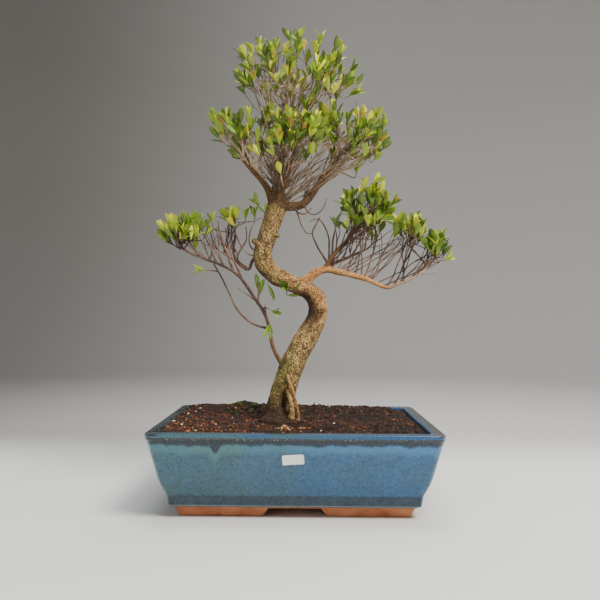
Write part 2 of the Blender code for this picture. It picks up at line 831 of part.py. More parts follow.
def main():
    clear_scene()
    make_pot()
    make_label()
    make_soil()
    make_screen("drain_screen_left", -1)
    make_screen("drain_screen_right", 1)
    limbs = [resample([Vector(p) for p in limb], WOOD_STEP) for limb in LIMBS]
    trunk = resample([Vector(p) for p in TRUNK], WOOD_STEP)
    ends = limb_sites(limbs)
    sites = []
    for spin, (centre, size, count) in enumerate(PADS.values()):
        sites += pad_sites(centre, size, count, spin)
    for foot, direction, length in LONE_SHOOTS:
        sites.append((Vector(foot), Vector(direction).normalized(), length))
    twigs = grow_twigs(sites, limbs + [trunk])
    wood = search_tree(make_wood(limbs, twigs))
    rng = random.Random(SEED)
    paths = []
    stems = []
    for site in ends + sites:
        points = clear_stem(site, rng, wood, stems)
        if points is not None:
            paths.append(points)
            stems.append(tree_of(loft(tube(points, STEM_SIDES))))
    shoots = []
    for number, points in enumerate(paths):
        others = [wood] + stems[:number] + stems[number + 1:] + shoots
        name = f"shoot_{number + 1:02d}"
        shoots.append(search_tree(make_shoot(name, points, rng, others)))


main()
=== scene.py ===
"""Brush cherry bonsai in a glazed tray: the finished surfaces over the solid model.

Lengths are millimetres from the middle of the pot at table height, until to_piece turns them into
metres in the model's own frame. +X is the viewer's right, -Y is the front and +Z is up.
"""

import json
import math
import random

import bmesh
import bpy
from mathutils import Matrix, Vector, noise
from mathutils.kdtree import KDTree

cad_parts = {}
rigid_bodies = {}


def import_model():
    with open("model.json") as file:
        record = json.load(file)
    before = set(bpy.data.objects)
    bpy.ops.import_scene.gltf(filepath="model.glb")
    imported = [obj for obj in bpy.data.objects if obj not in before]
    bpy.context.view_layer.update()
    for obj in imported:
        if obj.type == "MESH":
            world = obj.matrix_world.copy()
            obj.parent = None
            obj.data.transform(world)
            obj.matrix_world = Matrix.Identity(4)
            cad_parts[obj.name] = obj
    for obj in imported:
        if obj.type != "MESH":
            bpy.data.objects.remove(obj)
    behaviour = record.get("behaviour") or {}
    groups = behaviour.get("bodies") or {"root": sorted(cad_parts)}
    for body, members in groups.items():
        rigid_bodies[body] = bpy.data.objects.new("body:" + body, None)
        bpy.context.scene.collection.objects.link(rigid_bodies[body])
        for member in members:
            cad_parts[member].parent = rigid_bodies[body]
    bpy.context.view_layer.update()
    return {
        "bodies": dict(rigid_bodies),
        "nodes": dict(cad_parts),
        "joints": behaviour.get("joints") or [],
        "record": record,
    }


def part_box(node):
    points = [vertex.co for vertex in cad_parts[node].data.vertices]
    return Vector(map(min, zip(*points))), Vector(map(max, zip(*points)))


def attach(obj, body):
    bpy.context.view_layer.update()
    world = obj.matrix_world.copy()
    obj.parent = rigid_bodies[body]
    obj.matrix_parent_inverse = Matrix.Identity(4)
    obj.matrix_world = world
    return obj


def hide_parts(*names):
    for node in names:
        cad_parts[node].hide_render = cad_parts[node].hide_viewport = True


MM = 0.001
SEED = 27
ORIGIN_SHIFT = Vector((-7.0, 0.0, 0.0))

# Camera: where the lens stood, its tilt, turn and roll in degrees, and its focal length
CAMERA_PLACE = (8.0, -864.0, 234.6)
CAMERA_TILT = 1.586
CAMERA_TURN = 0.264
CAMERA_ROLL = 0.38
SENSOR_WIDTH = 36.0
FOCAL_LENGTH = 39.0

# Studio: radius of the level floor and of the wall that rises round it
FLOOR_RADIUS = 1900.0
SWEEP_RADIUS = 900.0
WALL_TOP = 2900.0

# Pot: outer size at the rim, then insets from the rim's outline at each height
POT_LENGTH = 345.0
POT_DEPTH = 250.0
POT_TOP = 102.0
RIM_WIDTH = 15.0
LIP_Z = 95.0
LIP_STEP = 1.2
CORNER_RADIUS = 11.0
CORNER_STEPS = 7
LONG_SIDE_STEPS = 70
SHORT_SIDE_STEPS = 50
WALL_FOOT_INSET = 14.2
WALL_FOOT_Z = 44.0
PLINTH_INSET = 22.0
PLINTH_TOP_Z = 27.5
UNDERSIDE_INSET = 30.5
UNDERSIDE_Z = 11.0
WALL_THICKNESS = 9.0
FLOOR_Z = 19.0
DRAIN_X = 75.0
DRAIN_RADIUS = 11.0
FOOT_LONG_ARM_END = 29.5
FOOT_SHORT_ARM_END = 36.0
FOOT_ARM_WIDTH = 16.0
FOOT_END_TAPER = 9.0
FOOT_SIDE_TAPER = 5.0

# Blank paper label on the front wall
LABEL_SIZE = (25.0, 12.0, 0.4)
LABEL_X = -2.0
LABEL_Z = 73.0
LABEL_TILT = -3.5

# Soil: level at the wall with a few mounds, each with a place (x, y), a reach (x, y) and a height
SOIL_EDGE_Z = 97.5
SOIL_MOUNDS = [
    ((-20.0, 68.0), (300.0, 42.0), 12.5),
    ((-73.0, 50.0), (24.0, 20.0), 7.0),
    ((-17.0, -16.0), (55.0, 55.0), 3.0),
]
# Heaped against the left wall, in the same terms
SOIL_HEAP = ((-165.0, 5.0), (34.0, 160.0), 9.5)
SOIL_LEVEL_MARGIN = 15.0
SOIL_RISE = 30.0
SOIL_GRID = 2.1
CRUMB = 3.4

# Root crown: the flared foot of the trunk
CROWN_CENTRE = (-16.5, -16.5)
CROWN_RADII = (27.5, 26.5)
CROWN_BOTTOM_Z = 66.0
CROWN_STRAIGHT_Z = 103.6
CROWN_TOP_Z = 130.0

# Wood: points (x, y, z, radius) along each limb's middle line
TRUNK = [
    (-25, -14, 84, 13.0),
    (-27, -13, 104, 15.3),
    (-22, -12, 124, 15.5),
    (-14, -10, 151, 16.4),
    (-4, -7, 177, 15.8),
    (7, -4, 198, 15.4),
    (19, 0, 219, 14.2),
    (27, 3, 238, 13.0),
    (27, 4, 255, 12.9),
    (19, 3, 268, 12.4),
    (3, 1, 277, 11.4),
    (-16, -2, 284, 11.2),
    (-33, -5, 294, 12.2),
    (-43, -7, 308, 12.7),
    (-45, -7, 324, 12.6),
    (-36, -3, 355, 12.3),
    (-27, 0, 384, 13.0),
    (-27, 2, 398, 11.5),
    (-26, 3, 411, 8.0),
]
LEADER = [
    (-29, 1, 398, 7.0),
    (-26, 4, 424, 4.6),
    (-20, 6, 457, 3.8),
    (-15, 4, 482, 3.3),
    (-9, 1, 508, 2.6),
    (-6, 2, 534, 1.3),
]
CROWN_RIGHT = [
    (-27, 0, 386, 8.0),
    (-9, -3, 383, 6.1),
    (7, -6, 386, 5.5),
    (19, -8, 399, 5.0),
    (30, -8, 416, 4.3),
    (44, -6, 434, 3.6),
    (58, -3, 454, 2.8),
    (73, 0, 474, 1.8),
]
CROWN_LEFT = [
    (-32, 1, 388, 6.5),
    (-43, -3, 410, 3.8),
    (-59, -8, 428, 3.0),
    (-75, -12, 446, 2.2),
    (-94, -15, 472, 1.3),
]
CROWN_BACK = [
    (-28, 4, 388, 7.0),
    (-25, 16, 405, 4.6),
    (-17, 31, 432, 3.6),
    (-7, 42, 458, 2.7),
    (3, 48, 486, 1.4),
]
CROWN_FRONT = [
    (-27, -2, 386, 7.0),
    (-22, -14, 398, 4.2),
    (-14, -27, 415, 3.2),
    (-5, -37, 435, 2.3),
    (2, -42, 456, 1.3),
]
RIGHT_BRANCH = [
    (8, 2, 279, 8.0),
    (19, -1, 290, 6.3),
    (29, -4, 297, 5.6),
    (41, -7, 299, 4.9),
    (57, -10, 295, 4.3),
    (88, -14, 287, 3.4),
    (117, -17, 275, 2.5),
    (130, -18, 279, 2.1),
    (148, -19, 286, 1.8),
    (166, -19, 298, 1.5),
    (174, -18, 312, 1.1),
]
RIGHT_RISER = [
    (37, -6, 299, 4.4),
    (45, -4, 314, 3.4),
    (54, -1, 325, 3.1),
    (65, 3, 337, 2.6),
    (75, 7, 350, 1.8),
]
RIGHT_BACK = [
    (25, -2, 294, 4.5),
    (36, 10, 302, 3.1),
    (53, 24, 311, 2.7),
    (73, 36, 320, 2.2),
    (93, 46, 330, 1.5),
]
LEFT_BRANCH = [
    (-17, -9, 171, 4.0),
    (-26, -14, 186, 2.9),
    (-32, -17, 201, 2.6),
    (-35, -20, 220, 2.4),
    (-42, -23, 241, 2.3),
    (-53, -26, 258, 2.2),
    (-74, -29, 287, 2.0),
    (-95, -31, 301, 1.8),
    (-117, -33, 309, 1.7),
    (-138, -35, 317, 1.4),
    (-152, -37, 330, 1.1),
]
LEFT_FORK = [
    (-35, -20, 221, 1.9),
    (-50, -24, 224, 1.4),
    (-63, -28, 231, 1.3),
    (-78, -32, 248, 1.2),
    (-93, -37, 280, 1.1),
    (-106, -39, 303, 1.0),
]
LOW_LEFT = [
    (-42, -6, 322, 4.0),
    (-51, -6, 319, 3.2),
    (-60, -3, 309, 2.3),
    (-64, 0, 299, 2.0),
    (-72, 4, 301, 1.9),
    (-81, 8, 309, 1.7),
    (-104, 15, 324, 1.2),
]
ROOT_RIGHT = [
    (-12, -20, 164, 3.0),
    (-10, -27, 156, 2.2),
    (-4, -31, 141, 2.2),
    (0, -33, 126, 2.0),
    (3.5, -33.5, 110, 1.9),
    (2, -30, 99, 1.8),
]
ROOT_LEFT = [
    (-12, -18, 148, 3.5),
    (-10, -26, 139, 3.1),
    (-6, -32, 127, 3.2),
    (-5, -34, 112, 3.3),
    (-6, -31, 99, 3.0),
]
LIMBS = [
    LEADER, CROWN_RIGHT, CROWN_LEFT, CROWN_BACK, CROWN_FRONT, RIGHT_BRANCH,
    RIGHT_RISER, RIGHT_BACK, LEFT_BRANCH, LEFT_FORK, LOW_LEFT,
]
LIMB_NAMES = [
    "leader", "crown_right", "crown_left", "crown_back", "crown_front", "right_branch",
    "right_riser", "right_back", "left_branch", "left_fork", "low_left",
]
CROWN_LIMBS = LIMBS[:5]
# Limbs that end in thin twigs and not in a leafy shoot
BARE_ENDS = ("left_fork", "low_left", "right_back")
# Limbs with dark red-brown bark on their thin part
DARK_LIMBS = ("right_riser", "right_back", "left_branch", "left_fork", "low_left")
ROOTS = [ROOT_RIGHT, ROOT_LEFT]
# Cut stubs left on the trunk by pruning
STUBS = [
    [(-34, -8, 345, 4.0), (-24, -14, 342, 2.6)],
    [(10, -12, 196, 5.0), (12, -19, 200, 3.4)],
    [(-50, -14, 330, 4.5), (-58, -19, 336, 3.0)],
    [(28, -8, 244, 5.0), (38, -13, 247, 3.6)],
]
WOOD_STEP = 13.0
DRAW_STEP = 4.0
# Limbs thicker than this are one skin with the trunk
THICK = 2.3
BARK_VOXEL = 0.95
# A root's own bark reaches this far from its surface
ROOT_SKIN = 1.2
# How red each kind of wood is beside the trunk, and how dark: painted shade on the crown limbs, darker bark
# on the riser and the left limbs
WARMTH = {"branch": 0.95, "riser": 0.7, "root": 0.45, "crown": 0.2, "left": 0.6}
SHADE = {"crown": 0.72, "riser": 0.74, "left": 0.62}

# Foliage pads: centre, half sizes, the model's shoots and how many finer ones stand among them
PADS = {
    "apex": ((-6, 2, 562), (88, 62, 60), 13, 10),
    "left_shoulder": ((-60, -8, 480), (62, 48, 42), 5, 5),
    "right_shoulder": ((62, -3, 484), (66, 50, 42), 6, 7),
    "front": ((0, -44, 474), (46, 28, 34), 3, 3),
    "back": ((6, 46, 500), (56, 34, 44), 3, 9),
    "right_near": ((92, -6, 382), (42, 36, 32), 3, 8),
    "right_rear": ((96, 46, 352), (30, 26, 24), 1, 3),
    "right_middle": ((148, -16, 352), (24, 22, 20), 1, 3),
    "right_end": ((180, -18, 332), (18, 18, 20), 1, 2),
    "left_end": ((-150, -34, 343), (28, 26, 25), 2, 3),
    "left_inner": ((-88, 6, 368), (18, 17, 15), 1, 1),
}
PAD_LOWEST = -0.45
PAD_HIGHEST = 0.96
LEAF_REACH = Vector((8.0, 8.0, 15.0))
FORK_COST = 1.6
# Pads whose finer shoots stand on long straight twigs from the crown's limbs
BUNDLED = ("apex", "left_shoulder", "right_shoulder", "front", "back")

# Finer shoots of a pad that stand higher than its own
RAISED = {"right_rear": 17.0, "right_end": -6.0, "right_near": 4.0}
# A pad's leaves beside the others: size, shift in tone towards the young, share of their spread
CHARACTER = {
    "left_end": (1.1, 0.1, 0.66),
    "left_inner": (1.0, 0.06, 0.8),
    "right_near": (0.96, -0.05, 0.95),
    "right_middle": (1.0, 0.04, 0.85),
    "right_end": (1.0, 0.0, 0.85),
    "apex": (1.0, 0.05, 0.85),
}

# Bundles of thin straight twigs: limb, stretch of it, place and half sizes that they rise into, pad
# whose leaves they carry, how many
SPRAYS = [
    ("trunk", (0.93, 1.0), (-60, -8, 464), (60, 44, 26), "left_shoulder", 12),
    ("trunk", (0.93, 1.0), (0, -42, 458), (46, 26, 24), "front", 11),
    ("trunk", (0.93, 1.0), (6, 44, 492), (52, 30, 36), "back", 7),
    ("trunk", (0.92, 1.0), (52, -3, 464), (60, 42, 28), "right_shoulder", 8),
    ("trunk", (0.9, 1.0), (-28, -20, 438), (26, 14, 22), None, 15),
    ("crown_left", (0.2, 0.8), (-72, -12, 462), (34, 26, 24), "left_shoulder", 6),
    ("crown_right", (0.02, 0.3), (24, -10, 424), (24, 18, 24), None, 10),
    ("trunk", (0.94, 1.0), (-6, 2, 548), (76, 50, 28), "apex", 7),
    ("leader", (0.2, 0.85), (-6, 2, 552), (80, 56, 30), "apex", 20),
    ("crown_right", (0.3, 0.95), (76, -3, 468), (50, 42, 28), "right_shoulder", 16),
    ("right_branch", (0.2, 0.5), (98, -8, 374), (36, 30, 24), "right_near", 8),
    ("right_branch", (0.22, 0.5), (134, -14, 340), (26, 20, 20), "right_middle", 7),
    ("right_branch", (0.45, 0.75), (150, -16, 342), (24, 20, 20), "right_middle", 8),
    ("right_branch", (0.5, 0.9), (178, -18, 322), (18, 16, 18), "right_end", 8),
    ("right_riser", (0.3, 0.95), (92, -6, 378), (42, 34, 26), "right_near", 10),
    ("right_back", (0.3, 0.9), (100, 40, 366), (28, 22, 18), "right_rear", 3),
    ("left_branch", (0.78, 0.98), (-150, -34, 336), (24, 20, 16), "left_end", 6),
    ("left_branch", (0.6, 0.8), (-112, -20, 342), (18, 14, 16), None, 6),
    ("low_left", (0.4, 0.98), (-92, 6, 354), (26, 16, 16), "left_inner", 4),
]
# Share of the spray's ends that carry a tuft, in front of the pad's middle and behind it
LEAFY_SHARES = (0.12, 0.6)
TUFT_STEM = (7.0, 13.0)
# How far a tuft with its leaves can reach from the twig's end
TUFT_REACH = Vector((17.0, 17.0, 30.0))
# Lowest leafy shoots of a pad, as a share of its half height
LOWEST = {"apex": -0.2, "left_inner": -0.5, "right_near": -0.6}
SPRAY_RADIUS = 1.0
SPRAY_TIP_RADIUS = 0.45

# Leafy sprigs seen one by one: foot (x, y, z), how far the tips reach from it (x, z), and tone
SPRIGS = {
    "apex": [
        (-72, -5, 553, -19, 13, 0.35), (-70, -10, 578, -8, 21, 0.60), (-61, 5, 590, -5, 20, 0.72),
        (-48, -18, 579, -5, 29, 0.55), (-26, -25, 575, -2, 26, 0.40), (-10, 0, 597, -8, 31, 0.30),
        (-7, -10, 588, 7, 23, 0.50), (7, -15, 586, 1, 22, 0.88), (24, -8, 583, -3, 23, 0.70),
        (34, -5, 569, 2, 23, 0.20), (45, -15, 557, 7, 20, 0.78), (54, 5, 561, 6, 20, 0.25),
        (61, 0, 558, 22, 19, 0.30), (60, -10, 542, 12, 19, 0.15), (55, -8, 536, 29, 14, 0.45),
        (41, -35, 517, -7, 28, 0.62), (42, -36, 517, 11, 23, 0.68), (-59, -20, 552, -13, 23, 0.30),
        (-52, -28, 544, 0, 21, 0.20), (-55, -30, 540, -5, 18, 0.55), (-36, -35, 554, -3, 16, 0.60),
        (-27, -38, 535, -5, 16, 0.60), (-13, -30, 547, -5, 18, 0.86), (-10, -33, 550, 5, 18, 0.45),
        (-34, 10, 584, -10, 17, 0.35), (18, -34, 542, 5, 21, 0.25), (41, -28, 536, 7, 21, 0.22),
        (28, -20, 529, -2, 13, 0.15), (-21, 15, 586, 7, 24, 0.60), (10, 18, 582, 5, 19, 0.45),
    ],
    "left_shoulder": [
        (-94, -10, 485, -21, 21, 0.30), (-90, -20, 482, -12, 29, 0.35), (-87, -12, 483, -6, 31, 0.25),
        (-76, -5, 483, 1, 29, 0.15), (-88, 0, 478, -19, 7, 0.20), (-80, 5, 469, -17, 9, 0.20),
        (-72, -15, 444, -21, 17, 0.12), (-70, -12, 443, -18, 7, 0.15), (-73, -30, 465, -6, 18, 0.50),
        (-60, -15, 474, -7, 27, 0.35), (-54, -32, 459, 7, 21, 0.45), (-47, -38, 441, -13, 13, 0.60),
        (-25, -45, 437, -18, 18, 0.25), (-29, -42, 447, -13, 23, 0.50), (-43, -15, 497, -2, 23, 0.20),
        (-36, -18, 500, 3, 17, 0.60),
    ],
    "front": [
        (-27, -44, 456, 0, 23, 0.86), (-24, -46, 446, 6, 27, 0.60), (-18, -36, 474, -14, 19, 0.15),
        (-10, -30, 486, -8, 24, 0.68), (-8, -28, 487, 8, 20, 0.62), (-6, -40, 454, -5, 21, 0.42),
        (1, -30, 458, -4, 15, 0.38), (18, -38, 474, -20, 11, 0.15), (23, -40, 477, -6, 23, 0.35),
        (28, -42, 471, 5, 24, 0.30), (10, -20, 506, 0, 17, 0.30), (18, -42, 440, -2, 15, 0.58),
        (-3, -35, 434, 3, 13, 0.10), (10, -30, 437, 0, 10, 0.12), (-21, -46, 415, -4, 14, 0.70),
    ],
    "right_shoulder": [
        (39, -44, 461, 0, 23, 0.50), (41, -30, 493, -5, 20, 0.88), (46, -28, 490, 2, 16, 0.84),
        (54, -32, 476, 5, 28, 0.15), (65, -20, 489, 0, 20, 0.30), (77, -10, 495, -1, 23, 0.72),
        (81, -20, 492, 8, 20, 0.88), (103, -5, 494, 8, 25, 0.86), (110, -12, 478, 7, 27, 0.45),
        (87, -30, 476, -2, 21, 0.60), (94, -25, 478, 5, 20, 0.62), (104, -20, 463, 2, 26, 0.25),
        (108, -5, 465, 13, 15, 0.25), (65, -38, 463, 3, 16, 0.25), (85, -30, 440, 3, 23, 0.50),
        (99, -10, 454, 15, 17, 0.40), (97, -8, 441, 20, 12, 0.50), (90, 5, 445, 10, 17, 0.30),
    ],
    "right_near": [
        (96, -30, 408, 15, 10, 0.72), (102, -28, 394, 9, 14, 0.62), (86, -22, 402, 4, 17, 0.85),
        (79, -25, 393, 7, 13, 0.68), (93, -30, 390, 2, 15, 0.40), (116, -15, 384, 1, 11, 0.50),
        (119, -10, 377, 5, 16, 0.62), (114, -12, 369, 15, 8, 0.50), (85, -34, 377, -2, 13, 0.12),
        (95, -36, 375, 2, 15, 0.15), (103, -30, 376, 2, 14, 0.25), (72, -20, 380, -14, 10, 0.20),
        (70, -15, 374, -14, 5, 0.18), (74, -28, 362, -7, 14, 0.20), (85, -38, 361, 0, 12, 0.30),
        (97, -38, 357, 11, 13, 0.45), (90, -40, 351, -1, 12, 0.55), (108, -20, 364, 19, 2, 0.50),
        (50, -10, 354, -3, 11, 0.15), (76, -30, 352, 5, 10, 0.20), (101, -35, 352, -5, 5, 0.40),
    ],
    "right_middle": [
        (133, -20, 356, -1, 15, 0.72), (136, -25, 353, 4, 15, 0.40), (145, -30, 351, -5, 11, 0.35),
        (151, -15, 357, 5, 17, 0.30), (150, -28, 351, 6, 15, 0.75), (162, -15, 349, 4, 17, 0.35),
        (151, -35, 341, 4, 13, 0.40), (135, -15, 343, -7, 14, 0.15), (158, -30, 338, 2, 10, 0.70),
    ],
    "right_end": [
        (171, -15, 327, -7, 15, 0.12), (175, -18, 335, 1, 17, 0.20), (177, -22, 334, 6, 17, 0.55),
        (187, -10, 338, 4, 14, 0.60), (176, -25, 317, -7, 12, 0.20), (179, -30, 314, 1, 15, 0.30),
        (190, -15, 322, 4, 17, 0.20), (191, -12, 315, 6, 14, 0.25), (191, -20, 311, 8, 2, 0.50),
        (182, -28, 324, -4, 14, 0.45),
    ],
    "left_end": [
        (-170, -30, 336, -9, 18, 0.45), (-164, -38, 337, -2, 17, 0.75), (-153, -40, 342, -6, 21, 0.65),
        (-153, -36, 343, -1, 23, 0.55), (-145, -42, 347, 5, 24, 0.30), (-140, -45, 332, -4, 19, 0.70),
        (-134, -46, 332, -2, 20, 0.72), (-125, -35, 345, -2, 24, 0.35), (-166, -32, 331, -10, 9, 0.35),
        (-149, -44, 332, 2, 6, 0.86), (-137, -30, 352, 4, 10, 0.45), (-133, -38, 333, 13, 16, 0.50),
        (-127, -34, 343, 10, 12, 0.40), (-147, -35, 329, 6, 10, 0.45),
    ],
    "left_inner": [
        (-114, 0, 359, 0, 9, 0.45), (-90, 0, 361, -12, 22, 0.35), (-87, -5, 362, -6, 18, 0.50),
        (-85, 0, 362, -1, 20, 0.30), (-82, -5, 363, 4, 19, 0.65), (-82, -8, 355, -15, 14, 0.84),
        (-82, -3, 354, -8, 11, 0.15), (-69, -5, 364, 0, 8, 0.45), (-56, -10, 365, -1, 7, 0.25),
    ],
}
# Pads that also have a looser sprig behind every second one
DEEP = ("apex", "left_shoulder", "right_shoulder", "right_near", "right_middle", "left_end")

# Long bent twigs below the crown and at the left: points (x, y, z, radius)
TANGLE = [
    [(-4, -8, 384, 1.4), (0, -10, 373, 1.1), (5, -11, 357, 1.0), (12, -12, 346, 0.9), (19, -12, 346, 0.6)],
    [(41, -5, 306, 1.7), (25, -9, 332, 1.2), (20, -11, 346, 1.1), (24, -10, 357, 1.0), (30, -8, 368, 0.8)],
    [(42, -5, 309, 1.6), (42, -7, 337, 1.2), (37, -9, 354, 1.0), (28, -11, 365, 0.8), (16, -12, 362, 0.6)],
    [(46, -4, 314, 1.5), (48, -6, 344, 1.2), (54, -8, 364, 0.9), (60, -9, 380, 0.6)],
    [(8, -8, 386, 1.4), (14, -13, 373, 1.0), (24, -14, 371, 0.9), (33, -13, 378, 0.8), (38, -12, 392, 0.6)],
    [(-8, -7, 384, 1.4), (1, -14, 373, 1.0), (10, -15, 371, 0.9), (18, -14, 379, 0.6)],
    [(-49, -25, 250, 1.2), (-50, -26, 262, 1.0), (-49, -25, 275, 0.8), (-50, -24, 284, 0.5)],
    [(-34, -6, 296, 1.0), (-37, -14, 288, 0.8), (-39, -18, 279, 0.5)],
    [(-12, -4, 286, 1.0), (-13, -16, 274, 0.8), (-13, -20, 264, 0.5)],
    [(-64, 0, 299, 1.6), (-78, -2, 310, 1.3), (-78, -4, 320, 1.2), (-74, -6, 326, 1.0),
     (-79, -6, 338, 0.9), (-86, -6, 355, 0.6)],
    [(-81, 8, 309, 1.4), (-87, 2, 327, 1.1), (-83, -2, 341, 0.9), (-83, -4, 356, 0.6)],
    [(-74, -6, 326, 1.0), (-67, -8, 339, 0.9), (-68, -10, 355, 0.6)],
    [(-43, -9, 315, 1.5), (-57, -12, 316, 1.3), (-66, -12, 319, 1.0), (-71, -10, 325, 0.8)],
    [(-40, -10, 321, 1.4), (-59, -14, 325, 1.2), (-63, -14, 340, 1.0), (-57, -14, 359, 0.7),
     (-47, -14, 366, 0.5)],
    [(-71, -29, 284, 1.7), (-78, -28, 301, 1.4), (-82, -26, 309, 1.3), (-89, -24, 314, 1.2),
     (-99, -22, 320, 1.1), (-106, -20, 325, 1.0), (-111, -18, 336, 0.8), (-115, -18, 354, 0.6)],
    [(-101, -22, 321, 1.0), (-103, -20, 336, 0.9), (-106, -18, 350, 0.6)],
    [(-89, -24, 314, 1.1), (-95, -20, 328, 0.9), (-101, -16, 343, 0.8), (-104, -16, 361, 0.5)],
    [(-82, -26, 309, 1.1), (-88, -20, 321, 1.0), (-92, -14, 338, 0.9), (-95, -12, 353, 0.6)],
    [(-88, -20, 321, 0.9), (-86, -14, 335, 0.8), (-85, -10, 347, 0.6)],
    [(-103, -32, 304, 1.4), (-110, -30, 320, 1.1), (-117, -30, 335, 0.9), (-124, -30, 349, 0.6)],
]

# Single leaves by the bare wood: foot, tip and tone
LONE_LEAVES = [
    ((-49, -24, 267), (-53, -23, 292), 0.06),
    ((-49, -26, 262), (-43, -25, 286), 0.16),
    ((-39, -18, 279), (-28, -27, 260), 0.08),
    ((-13, -20, 264), (3, -27, 263), 0.15),
    ((-2, -18, 270), (3, -26, 280), 0.3),
    ((-34, -24, 228), (-42, -32, 212), 0.5),
    ((-34, -24, 226), (-33, -33, 208), 0.2),
    ((-46, -17, 372), (-53, -22, 381), 0.25),
    ((-42, -18, 372), (-41, -24, 384), 0.3),
]

# Short shoots on bare wood: foot, direction and length of stem
LONE_SHOOTS = [
    ((-44, -16, 374), (-0.7, -0.2, 0.7), 12.0),
    ((-7, -17, 271), (-0.4, -0.8, 0.1), 9.0),
    ((-109, -41, 294), (-1.0, 0.0, 0.1), 10.0),
    ((-38, -28, 247), (0.7, -0.3, -0.3), 9.0),
]

# Tones of their leaves
LONE_TONES = (0.25, 0.2, 0.5, 0.34)

# Shoots: stems and leaves
STEM_LENGTH = (22.0, 31.0)
STEM_RADIUS = 0.8
STEM_TIP_RADIUS = 0.42
TWIG_END_RADIUS = 0.8
LEAF_PITCH = 6.2
LEAF_LENGTH = (15.5, 21.5)
LEAF_SPREAD = (26.0, 54.0)
TIP_LEAF_SPREAD = (8.0, 28.0)
LEAF_THICKNESS = 0.02
BARE_TWIGS = 70

SOIL_CHIPS = 2300
# White grit lying on the soil, and crumbs spilt on the rim's left arm
GRIT = [(49, -23), (31, -76), (54, -103), (-87, 63), (-140, -62)]
RIM_CRUMBS = 70
SOIL_FIBRES = 330
MOSS_TUFTS = 210


def srgb(code):
    """An sRGB hex colour as linear light."""
    channels = [int(code[i:i + 2], 16) / 255.0 for i in (0, 2, 4)]
    light = [c / 12.92 if c <= 0.04045 else ((c + 0.055) / 1.055) ** 2.4 for c in channels]
    return (*light, 1.0)


def per_mm(size):
    """Texture scale, in metres of object space, whose features are about this many millimetres."""
    return 1.0 / (size * MM)


def add(tree, kind, inputs=(), stops=(), out=0, **settings):
    """Add a shader node with its settings, ramp stops and inputs, which are values or links. Gives one
    of its outputs."""
    node = tree.nodes.new("ShaderNode" + kind)
    for name, value in settings.items():
        setattr(node, name, value)
    for number, (place, code) in enumerate(stops):
        ramp = node.color_ramp.elements
        stop = ramp[number] if number < 2 else ramp.new(place)
        stop.position = place
        stop.color = srgb(code)
    for socket, value in inputs.items() if isinstance(inputs, dict) else enumerate(inputs):
        if isinstance(value, bpy.types.NodeSocket):
            tree.links.new(value, node.inputs[socket])
        else:
            node.inputs[socket].default_value = value
    return node.outputs[out]


# Settings of a smooth step (value, low, high, start, end) and of one colour laid over another
SMOOTH = {"interpolation_type": "SMOOTHSTEP"}
LAYER = {"data_type": "RGBA", "out": 2}
# Sockets of that layer
FACTOR = 0
BELOW = 6
ABOVE = 7


def start_material(name, roughness):
    """A Principled material, with its tree, shader and object coordinates."""
    surface = bpy.data.materials.new(name)
    surface.use_nodes = True
    tree = surface.node_tree
    shader = tree.nodes["Principled BSDF"]
    shader.inputs["Roughness"].default_value = roughness
    return surface, tree, shader, add(tree, "TexCoord", out="Object")


def connect(tree, shader, colour=None, roughness=None, height=None, depth=0.0, strength=1.0):
    """Lead colour, roughness and relief to the shader; depth is the relief in millimetres."""
    if colour is not None:
        tree.links.new(colour, shader.inputs["Base Color"])
    if roughness is not None:
        tree.links.new(roughness, shader.inputs["Roughness"])
    if height is not None:
        relief = {"Height": height, "Distance": depth * MM, "Strength": strength}
        tree.links.new(add(tree, "Bump", relief), shader.inputs["Normal"])


